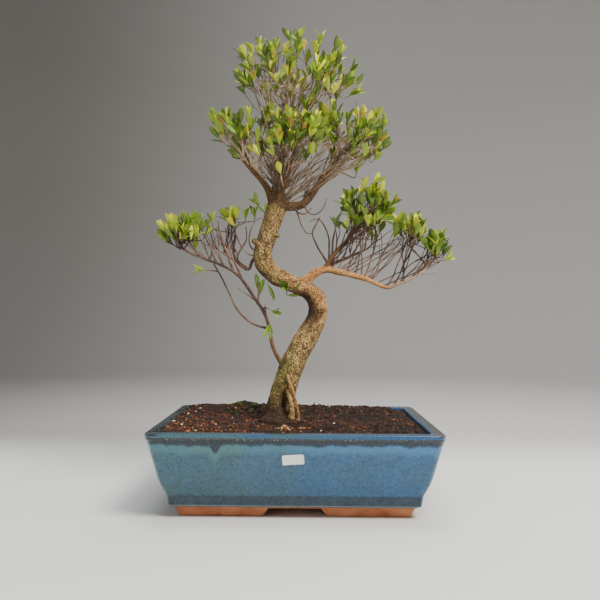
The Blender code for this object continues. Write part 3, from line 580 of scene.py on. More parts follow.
def glaze_material():
    """Glazed stoneware, fired with a runny blue glaze: glassy, mottled, thin and brown where it
    breaks over an edge, and dark where it pools under the lip and in the foot band. Painted shade
    darkens the band under the lip too, painted glints line the break, a painted highlight runs down
    the corners and along the lowest edge, and the level top carries a painted dark reflection and shade."""
    surface, tree, shader, place = start_material("runny blue stoneware glaze", 0.24)
    shader.inputs["IOR"].default_value = 1.5
    split = add(tree, "SeparateXYZ", [place]).node
    side = split.outputs["X"]
    height = split.outputs["Z"]
    # Broad clouds of teal, slate and brighter blue, 45 mm across, bluer to the right
    cloud = add(tree, "TexNoise", {"Vector": place, "Scale": per_mm(45), "Detail": 3.0})
    bluer = add(tree, "MapRange", [side, -0.18, 0.17, -0.22, 0.26], **SMOOTH)
    lean = add(tree, "Math", [cloud, bluer], operation="ADD")
    toned = add(tree, "ValToRGB", [lean], [
        (0.2, "4A717D"), (0.75, "4175A3"), (0.42, "4B738E"), (0.58, "457197"),
    ])
    # Mottle of 2.5 mm over one of 5 mm, and pits about 1.6 mm across
    mottle = add(tree, "TexNoise", {"Vector": place, "Scale": per_mm(2.5), "Detail": 4.0, "Roughness": 0.7})
    patch = add(tree, "TexNoise", {"Vector": place, "Scale": per_mm(5.2), "Detail": 2.0})
    fine = add(tree, "ValToRGB", [mottle], [(0.3, "8E969C"), (0.72, "F8F8F8")])
    broad = add(tree, "ValToRGB", [patch], [(0.32, "8C989C"), (0.7, "FFFFFF")])
    for factor, shade in ((0.5, broad), (0.52, fine)):
        toned = add(tree, "Mix", {FACTOR: factor, BELOW: toned, ABOVE: shade}, blend_type="MULTIPLY", **LAYER)
    pits = add(tree, "TexVoronoi", {"Vector": place, "Scale": per_mm(6.5)}, out="Distance")
    pit = add(tree, "MapRange", [pits, 0.07, 0.13, 0.7, 0.0], **SMOOTH)
    toned = add(tree, "Mix", {FACTOR: pit, BELOW: toned, ABOVE: srgb("1E3550")}, **LAYER)
    # The edges of the pools waver, with drips about 16 mm apart and one round run at the left
    stretch = add(tree, "Mapping", {"Vector": place, "Scale": (1.0, 1.0, 0.12)})
    drip = add(tree, "TexNoise", {"Vector": stretch, "Scale": per_mm(16), "Detail": 2.0})
    short = add(tree, "MapRange", [drip, 0.3, 0.75, -0.0010, 0.0026], **SMOOTH)
    from_run = add(tree, "Math", [add(tree, "Math", [side, 0.098], operation="ADD")], operation="ABSOLUTE")
    run = add(tree, "MapRange", [from_run, 0.0012, 0.0072, 0.0095, 0.0], **SMOOTH)
    sunk = add(tree, "Math", [short, run], operation="ADD")
    wavy = add(tree, "Math", [height, sunk], operation="ADD")
    # Milky streaks below the upper pool
    streak = add(tree, "ValToRGB", [lean], [(0.25, "56888A"), (0.7, "4E8CBC"), (0.42, "4C829D")])
    fade = add(tree, "MapRange", [wavy, 0.075, 0.086, 0.0, 1.0], **SMOOTH)
    edge = add(tree, "MapRange", [wavy, 0.0875, 0.0905, 0.6, 0.0], **SMOOTH)
    milky = add(tree, "Math", [fade, edge], operation="MULTIPLY")
    toned = add(tree, "Mix", {FACTOR: milky, BELOW: toned, ABOVE: streak}, **LAYER)
    # Pools of dark slate glaze under the lip and in the foot band, green in places; under the lip the dark is
    # also painted shade
    fade = add(tree, "MapRange", [wavy, 0.0884, 0.0918, 0.0, 1.0], **SMOOTH)
    edge = add(tree, "MapRange", [height, 0.0953, 0.0962, 0.93, 0.0], **SMOOTH)
    upper = add(tree, "Math", [fade, edge], operation="MULTIPLY")
    toned = add(tree, "Mix", {FACTOR: upper, BELOW: toned, ABOVE: srgb("222E39")}, **LAYER)
    slate = add(tree, "ValToRGB", [patch], [(0.4, "202D43"), (0.68, "304649")])
    low = add(tree, "MapRange", [height, 0.026, 0.0295, 0.93, 0.0], **SMOOTH)
    toned = add(tree, "Mix", {FACTOR: low, BELOW: toned, ABOVE: slate}, **LAYER)
    # The rim's outer face is clear and bright
    face = add(tree, "ValToRGB", [lean], [(0.25, "40656F"), (0.72, "275481"), (0.42, "315C78")])
    start = add(tree, "MapRange", [height, 0.0978, 0.0986, 0.0, 1.0], **SMOOTH)
    speck = add(tree, "MapRange", [mottle, 0.25, 0.5, 0.7, 0.95], **SMOOTH)
    rim = add(tree, "Math", [start, speck], operation="MULTIPLY")
    toned = add(tree, "Mix", {FACTOR: rim, BELOW: toned, ABOVE: face}, **LAYER)
    # Its level top is painted darker, as a painted dark reflection and shade; darker still at the left end,
    # with dust and painted shade, and brown at the right end
    flat = add(tree, "MapRange", [height, 0.1012, 0.1018, 0.0, 0.66], **SMOOTH)
    toned = add(tree, "Mix", {FACTOR: flat, BELOW: toned, ABOVE: srgb("26383F")}, **LAYER)
    for near, far, code in ((-0.160, -0.168, "1C2228"), (0.149, 0.163, "40362C")):
        end = add(tree, "MapRange", [side, near, far, 0.0, 0.84], **SMOOTH)
        start = add(tree, "MapRange", [height, 0.0985, 0.1005, 0.0, 1.0], **SMOOTH)
        end = add(tree, "Math", [end, start], operation="MULTIPLY")
        toned = add(tree, "Mix", {FACTOR: end, BELOW: toned, ABOVE: srgb(code)}, **LAYER)
    # The clay shows brown where the glaze breaks over the lip, with painted pale glints along it
    start = add(tree, "MapRange", [height, 0.0949, 0.0957, 0.0, 0.82], **SMOOTH)
    edge = add(tree, "MapRange", [height, 0.0972, 0.0984, 1.0, 0.0], **SMOOTH)
    broken = add(tree, "Math", [start, edge], operation="MULTIPLY")
    toned = add(tree, "Mix", {FACTOR: broken, BELOW: toned, ABOVE: srgb("33261D")}, **LAYER)
    speck = add(tree, "MapRange", [mottle, 0.58, 0.66, 0.0, 0.9], **SMOOTH)
    painted_glint = add(tree, "Math", [broken, speck], operation="MULTIPLY")
    toned = add(tree, "Mix", {FACTOR: painted_glint, BELOW: toned, ABOVE: srgb("A9C0C6")}, **LAYER)
    # Thin pale glaze with a painted highlight on the upright corners and on the lowest edge
    centred = add(tree, "Math", [side, -ORIGIN_SHIFT.x * MM], operation="ADD")
    across = add(tree, "Math", [centred], operation="ABSOLUTE")
    along = add(tree, "Math", [split.outputs["Y"]], operation="ABSOLUTE")
    gap = add(tree, "Math", [across, along], operation="SUBTRACT")
    gap = add(tree, "Math", [gap, (POT_DEPTH - POT_LENGTH) / 2 * MM], operation="ADD")
    gap = add(tree, "Math", [gap], operation="ABSOLUTE")
    corner = add(tree, "MapRange", [gap, 0.0005, 0.0022, 0.42, 0.0], **SMOOTH)
    start = add(tree, "MapRange", [height, 0.0138, 0.0148, 0.0, 0.42], **SMOOTH)
    edge = add(tree, "MapRange", [height, 0.0158, 0.0168, 1.0, 0.0], **SMOOTH)
    lowest = add(tree, "Math", [start, edge], operation="MULTIPLY")
    thin = add(tree, "Math", [corner, lowest], operation="MAXIMUM")
    toned = add(tree, "Mix", {FACTOR: thin, BELOW: toned, ABOVE: srgb("8FA7A8")}, **LAYER)
    gloss = add(tree, "MapRange", [mottle, 0.0, 1.0, 0.17, 0.4])
    relief = add(tree, "Math", [mottle, pit], operation="SUBTRACT")
    connect(tree, shader, toned, gloss, relief, 0.25, 0.5)
    return surface


def clay_material():
    """Unglazed red earthenware, pressed in a mould: dry, grainy and slightly streaked."""
    surface, tree, shader, place = start_material("unglazed red clay", 0.82)
    grain = add(tree, "TexNoise", {"Vector": place, "Scale": per_mm(1.4), "Detail": 5.0, "Roughness": 0.75})
    patch = add(tree, "TexNoise", {"Vector": place, "Scale": per_mm(22), "Detail": 2.0})
    both = add(tree, "Math", [grain, patch, 0.05], operation="MULTIPLY_ADD")
    colour = add(tree, "ValToRGB", [both], [(0.12, "7F462C"), (0.52, "D4936D"), (0.3, "B5714B")])
    connect(tree, shader, colour, None, grain, 0.3, 0.6)
    return surface


def soil_material():
    """Potting compost of composted bark and loam: crumbly, red-brown and fully matt."""
    surface, tree, shader, place = start_material("red-brown bark compost", 0.95)
    crumb = add(tree, "TexNoise", {"Vector": place, "Scale": per_mm(2.4), "Detail": 6.0, "Roughness": 0.74})
    patch = add(tree, "TexNoise", {"Vector": place, "Scale": per_mm(18), "Detail": 2.0})
    both = add(tree, "Math", [patch, 0.35, crumb], operation="MULTIPLY_ADD")
    side = add(tree, "SeparateXYZ", [place], out="X")
    damp = add(tree, "MapRange", [side, -0.1, 0.12, 0.02, -0.035], **SMOOTH)
    tone = add(tree, "Math", [both, damp], operation="ADD")
    colour = add(tree, "ValToRGB", [tone], [
        (0.54, "040201"), (0.95, "C07838"), (0.67, "1A0B04"), (0.77, "44200C"), (0.86, "80441C"),
    ])
    connect(tree, shader, colour, None, crumb, 1.2, 0.9)
    return surface


def scrap_material(name, stops, roughness):
    """Loose vegetable scraps, each with its own tone, finely streaked and matt."""
    surface, tree, shader, place = start_material(name, roughness)
    tone = add(tree, "Attribute", attribute_name="tone", out="Fac")
    streak = add(tree, "TexNoise", {"Vector": place, "Scale": per_mm(1.5), "Detail": 4.0})
    shade = add(tree, "MapRange", [streak, 0.0, 1.0, -0.13, 0.13])
    both = add(tree, "Math", [tone, shade], operation="ADD")
    colour = add(tree, "ValToRGB", [both], stops)
    connect(tree, shader, colour, None, streak, 0.4, 0.6)
    return surface


def bark_material():
    """Old flaking bark: fine olive-tan flakes with pale rims, brown between them, green algae low down,
    soil on its foot, painted shade on its undersides, and redder young wood on the right-hand limb."""
    surface, tree, shader, place = start_material("old flaking bark", 0.84)
    grain = add(tree, "Attribute", attribute_name="grain", out="Vector")
    crevice, calm, warm, moss, soil_and_shade = [
        add(tree, "Attribute", attribute_name=name, out="Fac")
        for name in ("crevice", "calm", "warm", "moss", "soil_and_shade")
    ]
    # The grain is in millimetres: flakes of 1 mm on plates of 6 mm, and patches of 22 mm
    flake = add(tree, "TexNoise", {"Vector": grain, "Scale": 1.0, "Detail": 4.0, "Roughness": 0.68})
    plate = add(tree, "TexNoise", {"Vector": grain, "Scale": 0.17, "Detail": 2.0})
    patch = add(tree, "TexNoise", {"Vector": grain, "Scale": 0.045, "Detail": 2.0})
    coarse = add(tree, "Math", [flake, 1.35], operation="MULTIPLY")
    both = add(tree, "Math", [plate, 0.34, coarse], operation="MULTIPLY_ADD")
    sunk = add(tree, "Math", [crevice, -0.10, both], operation="MULTIPLY_ADD")
    raw = add(tree, "MapRange", [sunk, 0.5, 1.14, 0.0, 1.0], **SMOOTH)
    gap = add(tree, "Math", [0.56, raw], operation="SUBTRACT")
    tone = add(tree, "Math", [gap, calm, raw], operation="MULTIPLY_ADD")
    old = add(tree, "ValToRGB", [tone], [
        (0.04, "1E140A"), (0.96, "F6E4B0"), (0.28, "513C1B"), (0.5, "8A6C36"), (0.72, "BC9B5E"),
    ])
    young = add(tree, "ValToRGB", [tone], [
        (0.04, "3A1D0C"), (0.96, "FFDFB0"), (0.28, "8A5224"), (0.5, "C4864C"), (0.72, "E0AA70"),
    ])
    wood = add(tree, "Mix", {FACTOR: warm, BELOW: old, ABOVE: young}, **LAYER)
    spread = add(tree, "MapRange", [patch, 0.35, 0.6, 0.25, 0.9], **SMOOTH)
    grown = add(tree, "Math", [moss, spread], operation="MULTIPLY")
    algae = add(tree, "ValToRGB", [tone], [(0.2, "3A3C14"), (0.8, "8C8A3C")])
    wood = add(tree, "Mix", {FACTOR: grown, BELOW: wood, ABOVE: algae}, **LAYER)
    # Soil, painted shade and some limbs' darker bark: brown crumbs of 3 mm over near black
    crumb = add(tree, "TexNoise", {"Vector": place, "Scale": per_mm(3), "Detail": 4.0, "Roughness": 0.7})
    dirt = add(tree, "ValToRGB", [crumb], [(0.42, "130905"), (0.7, "5A321B")])
    wood = add(tree, "Mix", {FACTOR: soil_and_shade, BELOW: wood, ABOVE: dirt}, **LAYER)
    relief = add(tree, "Math", [both, crevice], operation="SUBTRACT")
    connect(tree, shader, wood, None, relief, 0.9, 0.9)
    return surface


def twig_material(name, stops):
    """Thin bark of young wood: smooth and dull, streaked, with pale scars."""
    surface, tree, shader, place = start_material(name, 0.68)
    patch = add(tree, "TexNoise", {"Vector": place, "Scale": per_mm(30), "Detail": 2.0})
    ring = add(tree, "TexNoise", {"Vector": place, "Scale": per_mm(2.2), "Detail": 3.0, "Roughness": 0.7})
    both = add(tree, "Math", [patch, ring], operation="ADD")
    half = add(tree, "Math", [both, 0.5], operation="MULTIPLY")
    colour = add(tree, "ValToRGB", [half], stops)
    connect(tree, shader, colour, None, ring, 0.25, 0.5)
    return surface


def stem_material():
    """Soft green wood of this year's shoots, flushed red-brown."""
    surface, tree, shader, place = start_material("green shoot bark", 0.55)
    patch = add(tree, "TexNoise", {"Vector": place, "Scale": per_mm(9), "Detail": 3.0})
    colour = add(tree, "ValToRGB", [patch], [(0.36, "5B3A28"), (0.64, "7B8038"), (0.5, "7A5A34")])
    connect(tree, shader, colour, None, patch, 0.2, 0.4)
    return surface


def leaf_material():
    """Leathery evergreen leaf with a waxed upper face: dark when old, lime when new, and bronze or
    orange while it unfolds; the bright yellow-greens are also painted light shining through the blade.
    The underside is paler and duller, and the midrib is pale."""
    surface, tree, shader, place = start_material("waxed evergreen leaf", 0.4)
    shader.inputs["IOR"].default_value = 1.42
    shader.inputs["Specular IOR Level"].default_value = 0.2
    tone, under = [add(tree, "Attribute", attribute_name=name, out="Fac") for name in ("tone", "underside")]
    part = add(tree, "SeparateXYZ", [add(tree, "UVMap", uv_map="blade")]).node
    cloud = add(tree, "TexNoise", {"Vector": place, "Scale": per_mm(7), "Detail": 2.0})
    drift = add(tree, "MapRange", [cloud, 0.3, 0.7, -0.1, 0.1])
    shifted = add(tree, "Math", [tone, drift], operation="ADD")
    colour = add(tree, "ValToRGB", [shifted], [
        (0.0, "283F0C"), (1.0, "8C4A18"), (0.22, "486C10"), (0.42, "7EA012"), (0.6, "BACC18"),
        (0.78, "EAE62C"), (0.9, "DC9430"),
    ])
    # Distance from the midrib, 0 at the rib and 0.5 at the margin
    off = add(tree, "Math", [part.outputs["X"], 0.5], operation="SUBTRACT")
    away = add(tree, "Math", [off], operation="ABSOLUTE")
    rib = add(tree, "MapRange", [away, 0.02, 0.07, 0.45, 0.0])
    # Side veins leave the rib forwards, about 1.4 mm apart
    climb = add(tree, "Math", [away, -0.45, part.outputs["Y"]], operation="MULTIPLY_ADD")
    beat = add(tree, "Math", [climb, 82.0], operation="MULTIPLY")
    vein = add(tree, "Math", [beat], operation="SINE")
    faint = add(tree, "MapRange", [vein, 0.4, 1.0, 0.0, 0.14])
    lines = add(tree, "Math", [rib, faint], operation="MAXIMUM")
    ribbed = add(tree, "Mix", {FACTOR: lines, BELOW: colour, ABOVE: srgb("B7C26A")}, **LAYER)
    pale = add(tree, "Math", [under, 0.34], operation="MULTIPLY")
    both = add(tree, "Mix", {FACTOR: pale, BELOW: ribbed, ABOVE: srgb("929E62")}, **LAYER)
    dull = add(tree, "MapRange", [under, 0.0, 1.0, 0.44, 0.66])
    connect(tree, shader, both, dull, lines, 0.12, 0.6)
    return surface


def paper_material():
    """Matt white label paper: short fibres and a little dirt from handling."""
    surface, tree, shader, place = start_material("uncoated white label paper", 0.74)
    fibre = add(tree, "TexNoise", {"Vector": place, "Scale": per_mm(0.9), "Detail": 4.0})
    colour = add(tree, "ValToRGB", [fibre], [(0.3, "F1F1EC"), (0.7, "FFFFFF")])
    connect(tree, shader, colour, None, fibre, 0.05, 0.5)
    return surface


def mesh_plastic_material():
    """Black moulded polyethylene, matt, with dust from the soil."""
    surface, tree, shader, place = start_material("black polyethylene mesh", 0.55)
    dust = add(tree, "TexNoise", {"Vector": place, "Scale": per_mm(3), "Detail": 3.0})
    colour = add(tree, "ValToRGB", [dust], [(0.45, "141414"), (0.8, "4A3C32")])
    connect(tree, shader, colour, None, dust, 0.1, 0.4)
    return surface


def studio_material():
    """Seamless painted studio floor and wall: pale floor, and a wall with painted shade that darkens it to
    the left.
    """
    surface, tree, shader, place = start_material("matt studio paint", 0.9)
    split = add(tree, "SeparateXYZ", [place]).node
    reach = add(tree, "VectorMath", [place], operation="LENGTH", out="Value")
    around = add(tree, "MapRange", [reach, 0.9, 2.4])
    behind = add(tree, "MapRange", [split.outputs["Y"], 0.16, 0.46], **SMOOTH)
    fade = add(tree, "Math", [around, behind], operation="MAXIMUM")
    # Painted shade: the wall darkens towards the left
    side = add(tree, "MapRange", [split.outputs["X"], -1.5, 0.4], **SMOOTH)
    wall = add(tree, "Mix", {FACTOR: side, BELOW: srgb("7A7976"), ABOVE: srgb("BEBCBA")}, **LAYER)
    paint = add(tree, "Mix", {FACTOR: fade, BELOW: srgb("DEDFDC"), ABOVE: wall}, **LAYER)
    connect(tree, shader, paint)
    return surface


def to_piece(name, work, looks, sharp=40.0):
    """Turn a bmesh in millimetres into an object in metres, with its materials."""
    for vertex in work.verts:
        vertex.co = (vertex.co + ORIGIN_SHIFT) * MM
    mesh = bpy.data.meshes.new(name)
    work.to_mesh(mesh)
    work.free()
    mesh.shade_smooth()
    mesh.set_sharp_from_angle(angle=math.radians(sharp))
    for look in looks:
        mesh.materials.append(look)
    piece = bpy.data.objects.new(name, mesh)
    bpy.context.scene.collection.objects.link(piece)
    return piece


def evaluated(piece):
    """The mesh of an object with its modifiers applied; the object goes."""
    bpy.context.view_layer.update()
    graph = bpy.context.evaluated_depsgraph_get()
    mesh = bpy.data.meshes.new_from_object(piece.evaluated_get(graph))
    bpy.data.objects.remove(piece, do_unlink=True)
    return mesh


def scratch(name, work):
    """An object in millimetres that only serves to make another."""
    mesh = bpy.data.meshes.new(name)
    work.to_mesh(mesh)
    work.free()
    piece = bpy.data.objects.new(name, mesh)
    bpy.context.scene.collection.objects.link(piece)
    return piece


def from_mesh(mesh):
    work = bmesh.new()
    work.from_mesh(mesh)
    bpy.data.meshes.remove(mesh)
    return work


def settle(piece, nodes=()):
    """The piece rides on the object's one body and stands for its nodes."""
    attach(piece, "root")
    if nodes:
        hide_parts(*nodes)
    return piece


def skin(rings):
    """A closed skin: a grid with its rows on the rings, rolled up, seamed and filled at its ends."""
    work = bmesh.new()
    columns = len(rings[0])
    rows = len(rings) - 1
    bmesh.ops.create_grid(work, x_segments=columns, y_segments=rows, size=0.5)
    for vertex in work.verts:
        column = round((vertex.co.x + 0.5) * columns)
        row = round((vertex.co.y + 0.5) * rows)
        vertex.co = rings[row][column % columns]
    bmesh.ops.remove_doubles(work, verts=work.verts, dist=0.001)
    bmesh.ops.holes_fill(work, edges=work.edges, sides=0)
    bmesh.ops.recalc_face_normals(work, faces=work.faces)
    return work


def pot_ring(inset, z):
    """Points round the pot, the given distance inside the rim's outer edge."""
    half_x = POT_LENGTH / 2 - inset
    half_y = POT_DEPTH / 2 - inset
    radius = max(CORNER_RADIUS - 0.25 * inset, 3.0)
    corners = []
    for quarter in range(4):
        side_x = 1 if quarter in (0, 3) else -1
        side_y = 1 if quarter in (0, 1) else -1
        arc = []
        for step in range(CORNER_STEPS + 1):
            angle = math.radians(90.0 * (quarter + step / CORNER_STEPS))
            x = side_x * (half_x - radius) + radius * math.cos(angle)
            y = side_y * (half_y - radius) + radius * math.sin(angle)
            arc.append(Vector((x, y, z)))
        corners.append(arc)
    ring = []
    for quarter, arc in enumerate(corners):
        ring += arc
        following = corners[(quarter + 1) % 4][0]
        steps = LONG_SIDE_STEPS if quarter % 2 == 0 else SHORT_SIDE_STEPS
        ring += [arc[-1].lerp(following, step / steps) for step in range(1, steps)]
    return ring


def rounded_profile(points, steps):
    """A profile (inset, z, bend radius) with its bends turned into curves and its runs divided."""
    result = [points[0][:2]]
    for before, here, after in zip(points, points[1:], points[2:]):
        bend = Vector(here[:2])
        towards = [Vector(end[:2]) - bend for end in (before, after)]
        cuts = [bend + way.normalized() * min(here[2], 0.45 * way.length) for way in towards]
        for step in range(steps + 1):
            t = step / steps
            point = cuts[0].lerp(bend, t).lerp(bend.lerp(cuts[1], t), t)
            gap = Vector(result[-1]) - point
            runs = int(gap.length / 5.0)
            for run in range(runs, 0, -1):
                result.append(tuple(point + gap * run / (runs + 1)))
            result.append(tuple(point))
    result.append(points[-1][:2])
    return result


def make_foot(side_x, side_y):
    """One L-shaped foot: its outline extruded up into the pot's underside and bevelled."""
    outer_x = POT_LENGTH / 2 - UNDERSIDE_INSET - 0.5
    outer_y = POT_DEPTH / 2 - UNDERSIDE_INSET - 0.5
    near_x = outer_x - FOOT_ARM_WIDTH
    near_y = outer_y - FOOT_ARM_WIDTH
    low_x = outer_x - FOOT_SIDE_TAPER
    low_y = outer_y - FOOT_SIDE_TAPER
    end_x = FOOT_LONG_ARM_END
    end_y = FOOT_SHORT_ARM_END
    outline = [
        (end_x + FOOT_END_TAPER, low_y), (low_x, low_y), (low_x, end_y + FOOT_END_TAPER),
        (near_x, end_y + FOOT_END_TAPER), (near_x, near_y), (end_x + FOOT_END_TAPER, near_y),
    ]
    upper = [(end_x, outer_y), (outer_x, outer_y), (outer_x, end_y), (near_x, end_y), (near_x, near_y),
             (end_x, near_y)]
    work = bmesh.new()
    floor = work.faces.new([work.verts.new((x, y, 0.0)) for x, y in outline])
    raised = bmesh.ops.extrude_face_region(work, geom=[floor])["geom"]
    for vertex in [item for item in raised if isinstance(item, bmesh.types.BMVert)]:
        x, y = upper[outline.index(min(outline, key=lambda p: (Vector(p) - vertex.co.xy).length))]
        vertex.co = Vector((x, y, UNDERSIDE_Z + 1.5))
    bmesh.ops.bevel(work, geom=work.edges[:], affect="EDGES", offset=0.9, segments=2, profile=0.5,
                    material=-1)
    bmesh.ops.scale(work, verts=work.verts, vec=(side_x, side_y, 1.0))
    bmesh.ops.recalc_face_normals(work, faces=work.faces)
    return scratch("foot", work)


def combine(base, others, operation):
    """Union or cut a scratch object with others, and give back the mesh."""
    group = bpy.data.collections.new("others")
    for other in others:
        group.objects.link(other)
    boolean = base.modifiers.new("combine", "BOOLEAN")
    boolean.operation = operation
    boolean.operand_type = "COLLECTION"
    boolean.collection = group
    mesh = evaluated(base)
    for other in others:
        bpy.data.objects.remove(other, do_unlink=True)
    bpy.data.collections.remove(group)
    return mesh


def make_pot(glaze, clay):
    """The tray with rounded edges, a hand-finished surface, feet and drain holes."""
    outer = [
        (UNDERSIDE_INSET + 14.0, UNDERSIDE_Z, 0.0), (UNDERSIDE_INSET, UNDERSIDE_Z, 1.5),
        (PLINTH_INSET + 1.5, UNDERSIDE_Z + 4.5, 1.5), (PLINTH_INSET, PLINTH_TOP_Z, 3.0),
        (WALL_FOOT_INSET, WALL_FOOT_Z, 7.5), (LIP_STEP + 0.3, LIP_Z - 0.8, 1.0), (0.1, LIP_Z + 0.4, 0.9),
        (0.0, POT_TOP, 1.7), (RIM_WIDTH, POT_TOP, 1.7), (RIM_WIDTH, WALL_FOOT_Z + 35.0, 3.0),
        (WALL_FOOT_INSET + WALL_THICKNESS, WALL_FOOT_Z, 3.0),
        (PLINTH_INSET + WALL_THICKNESS + 1.0, FLOOR_Z, 3.0),
        (PLINTH_INSET + WALL_THICKNESS + 20.0, FLOOR_Z, 0.0),
    ]
    profile = rounded_profile(outer, 4)
    work = skin([pot_ring(inset, z) for inset, z in profile])
    for vertex in work.verts:
        point = vertex.co
        sway = 0.45 * noise.noise(point / 60.0) + 0.16 * noise.noise(point / 9.0)
        flat = Vector((point.x, point.y, 0.0)).normalized()
        vertex.co = point + flat * sway
    body = scratch("tray", work)
    feet = [make_foot(side_x, side_y) for side_x in (-1, 1) for side_y in (-1, 1)]
    joined = scratch("tray", from_mesh(combine(body, feet, "UNION")))
    drains = []
    for side in (-1, 1):
        drain = bmesh.new()
        bmesh.ops.create_cone(drain, cap_ends=True, segments=40, radius1=DRAIN_RADIUS, radius2=DRAIN_RADIUS,
                              depth=60.0, matrix=Matrix.Translation((side * DRAIN_X, 0.0, 15.0)))
        drains.append(scratch("drain", drain))
    work = from_mesh(combine(joined, drains, "DIFFERENCE"))
    for face in work.faces:
        face.material_index = 1 if face.calc_center_median().z < UNDERSIDE_Z + 1.6 else 0
    settle(to_piece("pot_glazed_tray", work, [glaze, clay], 50.0), ["pot"])


def make_label(paper):
    """Blank label with rounded corners, following the sloping wall with a slight curl."""
    rise = LIP_Z - 0.8 - WALL_FOOT_Z
    lean = math.atan2(WALL_FOOT_INSET - LIP_STEP, rise)
    inset = WALL_FOOT_INSET - (LABEL_Z - WALL_FOOT_Z) * math.tan(lean)
    width, height, thickness = LABEL_SIZE
    work = bmesh.new()
    bmesh.ops.create_grid(work, x_segments=1, y_segments=1, size=0.5)
    bmesh.ops.scale(work, verts=work.verts, vec=(width, height, 1.0))
    bmesh.ops.bevel(work, geom=work.verts[:], affect="VERTICES", offset=1.3, segments=4, profile=0.5,
                    material=-1)
    for cut in range(-4, 5):
        bmesh.ops.bisect_plane(work, geom=work.verts[:] + work.edges[:] + work.faces[:],
                               plane_co=(cut * width / 10.0, 0.0, 0.0), plane_no=(1.0, 0.0, 0.0))
    bmesh.ops.solidify(work, geom=work.faces[:], thickness=thickness)
    for vertex in work.verts:
        vertex.co.z += 0.55 * (2.0 * abs(vertex.co.x) / width) ** 4 + 0.25
    upright = Matrix.Rotation(math.radians(90.0), 4, "X")
    turn = Matrix.Rotation(lean, 4, "X") @ Matrix.Rotation(math.radians(LABEL_TILT), 4, "Y")
    centre = Matrix.Translation((LABEL_X, -(POT_DEPTH / 2 - inset) - 0.35, LABEL_Z))
    bmesh.ops.transform(work, matrix=centre @ turn @ upright, verts=work.verts)
    bmesh.ops.recalc_face_normals(work, faces=work.faces)
    settle(to_piece("label_paper", work, [paper], 30.0), ["label"])


def mound(x, y, place, reach, top):
    """Height of a rounded mound at a point."""
    across = (x - place[0]) / reach[0]
    along = (y - place[1]) / reach[1]
    return top * math.exp(-across * across - along * along)


def soil_height(x, y):
    """Height of the soil: level at the wall, heaped at its left, mounded behind and round the tree."""
    inside = min(POT_LENGTH / 2 - abs(x), POT_DEPTH / 2 - abs(y)) - SOIL_LEVEL_MARGIN
    share = min(1.0, max(0.0, inside / SOIL_RISE))
    height = share * sum(mound(x, y, *shape) for shape in SOIL_MOUNDS) + mound(x, y, *SOIL_HEAP)
    return SOIL_EDGE_Z + height


def soil_surface(x, y):
    """Height of the soil with its clods and crumbs."""
    clods = 1.5 * noise.noise(Vector((x, y, 3.0)) / 11.0) + 0.8 * noise.noise(Vector((x, y, 9.0)) / 4.5)
    near, _ = noise.voronoi(Vector((x, y, 0.0)) / CRUMB)
    inside = min(POT_LENGTH / 2 - abs(x), POT_DEPTH / 2 - abs(y)) - RIM_WIDTH
    edge = 1.0 - smooth_step(inside, 0.0, 7.0)
    slump = edge * max(0.0, soil_height(x, y) - POT_TOP + 1.0) * 0.6
    return soil_height(x, y) + clods + 1.3 * (0.45 - near[0]) - slump


def within_wall(x, y, inset):
    """The point, drawn in where it lies outside the pot's rounded inner corner."""
    radius = max(CORNER_RADIUS - 0.25 * inset, 3.0)
    core = Vector((POT_LENGTH / 2 - inset - radius, POT_DEPTH / 2 - inset - radius))
    over = Vector((max(abs(x) - core.x, 0.0), max(abs(y) - core.y, 0.0)))
    if over.length > radius:
        over = over.normalized() * radius
    near = Vector((min(abs(x), core.x), min(abs(y), core.y))) + over
    return math.copysign(near.x, x), math.copysign(near.y, y)


def make_soil(look):
    """The filling: a fine crumbly top drawn down along the pot's inner wall to its floor."""
    inset = RIM_WIDTH + 0.1
    half_x = POT_LENGTH / 2 - inset
    half_y = POT_DEPTH / 2 - inset
    work = bmesh.new()
    bmesh.ops.create_grid(work, x_segments=round(2 * half_x / SOIL_GRID),
                          y_segments=round(2 * half_y / SOIL_GRID),
                          size=1.0)
    for vertex in work.verts:
        x, y = within_wall(vertex.co.x * half_x, vertex.co.y * half_y, inset)
        vertex.co = Vector((x, y, soil_surface(x, y)))
    edge = [item for item in work.edges if item.is_boundary]
    for scale, z in ((1.0, 74.0), (0.93, 38.5), (0.88, FLOOR_Z + 2.0)):
        grown = bmesh.ops.extrude_edge_only(work, edges=edge)["geom"]
        edge = [item for item in grown if isinstance(item, bmesh.types.BMEdge)]
        for vertex in [item for item in grown if isinstance(item, bmesh.types.BMVert)]:
            x = vertex.co.x * scale
            y = vertex.co.y * scale
            vertex.co = Vector((x, y, z))
    bmesh.ops.holes_fill(work, edges=work.edges, sides=0)
    bmesh.ops.recalc_face_normals(work, faces=work.faces)
    settle(to_piece("soil_bed", work, [look], 180.0), ["soil"])


def plant(work, template, matrix, tone):
    """Add one copy of a template mesh to a growing bmesh, placed by a matrix, with its own tone."""
    copy = template.copy()
    copy.transform(matrix)
    values = copy.attributes["tone"].data
    values.foreach_set("value", [tone] * len(values))
    work.from_mesh(copy)
    bpy.data.meshes.remove(copy)


def scrap_template(rng, flat):
    """An irregular chip: a coarse ball pressed flat and knocked out of true."""
    work = bmesh.new()
    work.faces.layers.float.new("tone")
    bmesh.ops.create_icosphere(work, subdivisions=1, radius=0.5)
    for vertex in work.verts:
        vertex.co.x *= rng.uniform(0.75, 1.25)
        vertex.co.y *= rng.uniform(0.4, 0.7)
        vertex.co.z *= flat * rng.uniform(0.7, 1.3)
    mesh = bpy.data.meshes.new("chip")
    work.to_mesh(mesh)
    work.free()
    return mesh


def on_soil(rng):
    """A random place on the soil outside the trunk's foot."""
    while True:
        x = rng.uniform(-1.0, 1.0) * (POT_LENGTH / 2 - RIM_WIDTH - 4.0)
        y = rng.uniform(-1.0, 1.0) * (POT_DEPTH / 2 - RIM_WIDTH - 4.0)
        gap = Vector(((x - CROWN_CENTRE[0]) / CROWN_RADII[0], (y - CROWN_CENTRE[1]) / CROWN_RADII[1]))
        if gap.length > 0.86:
            return x, y


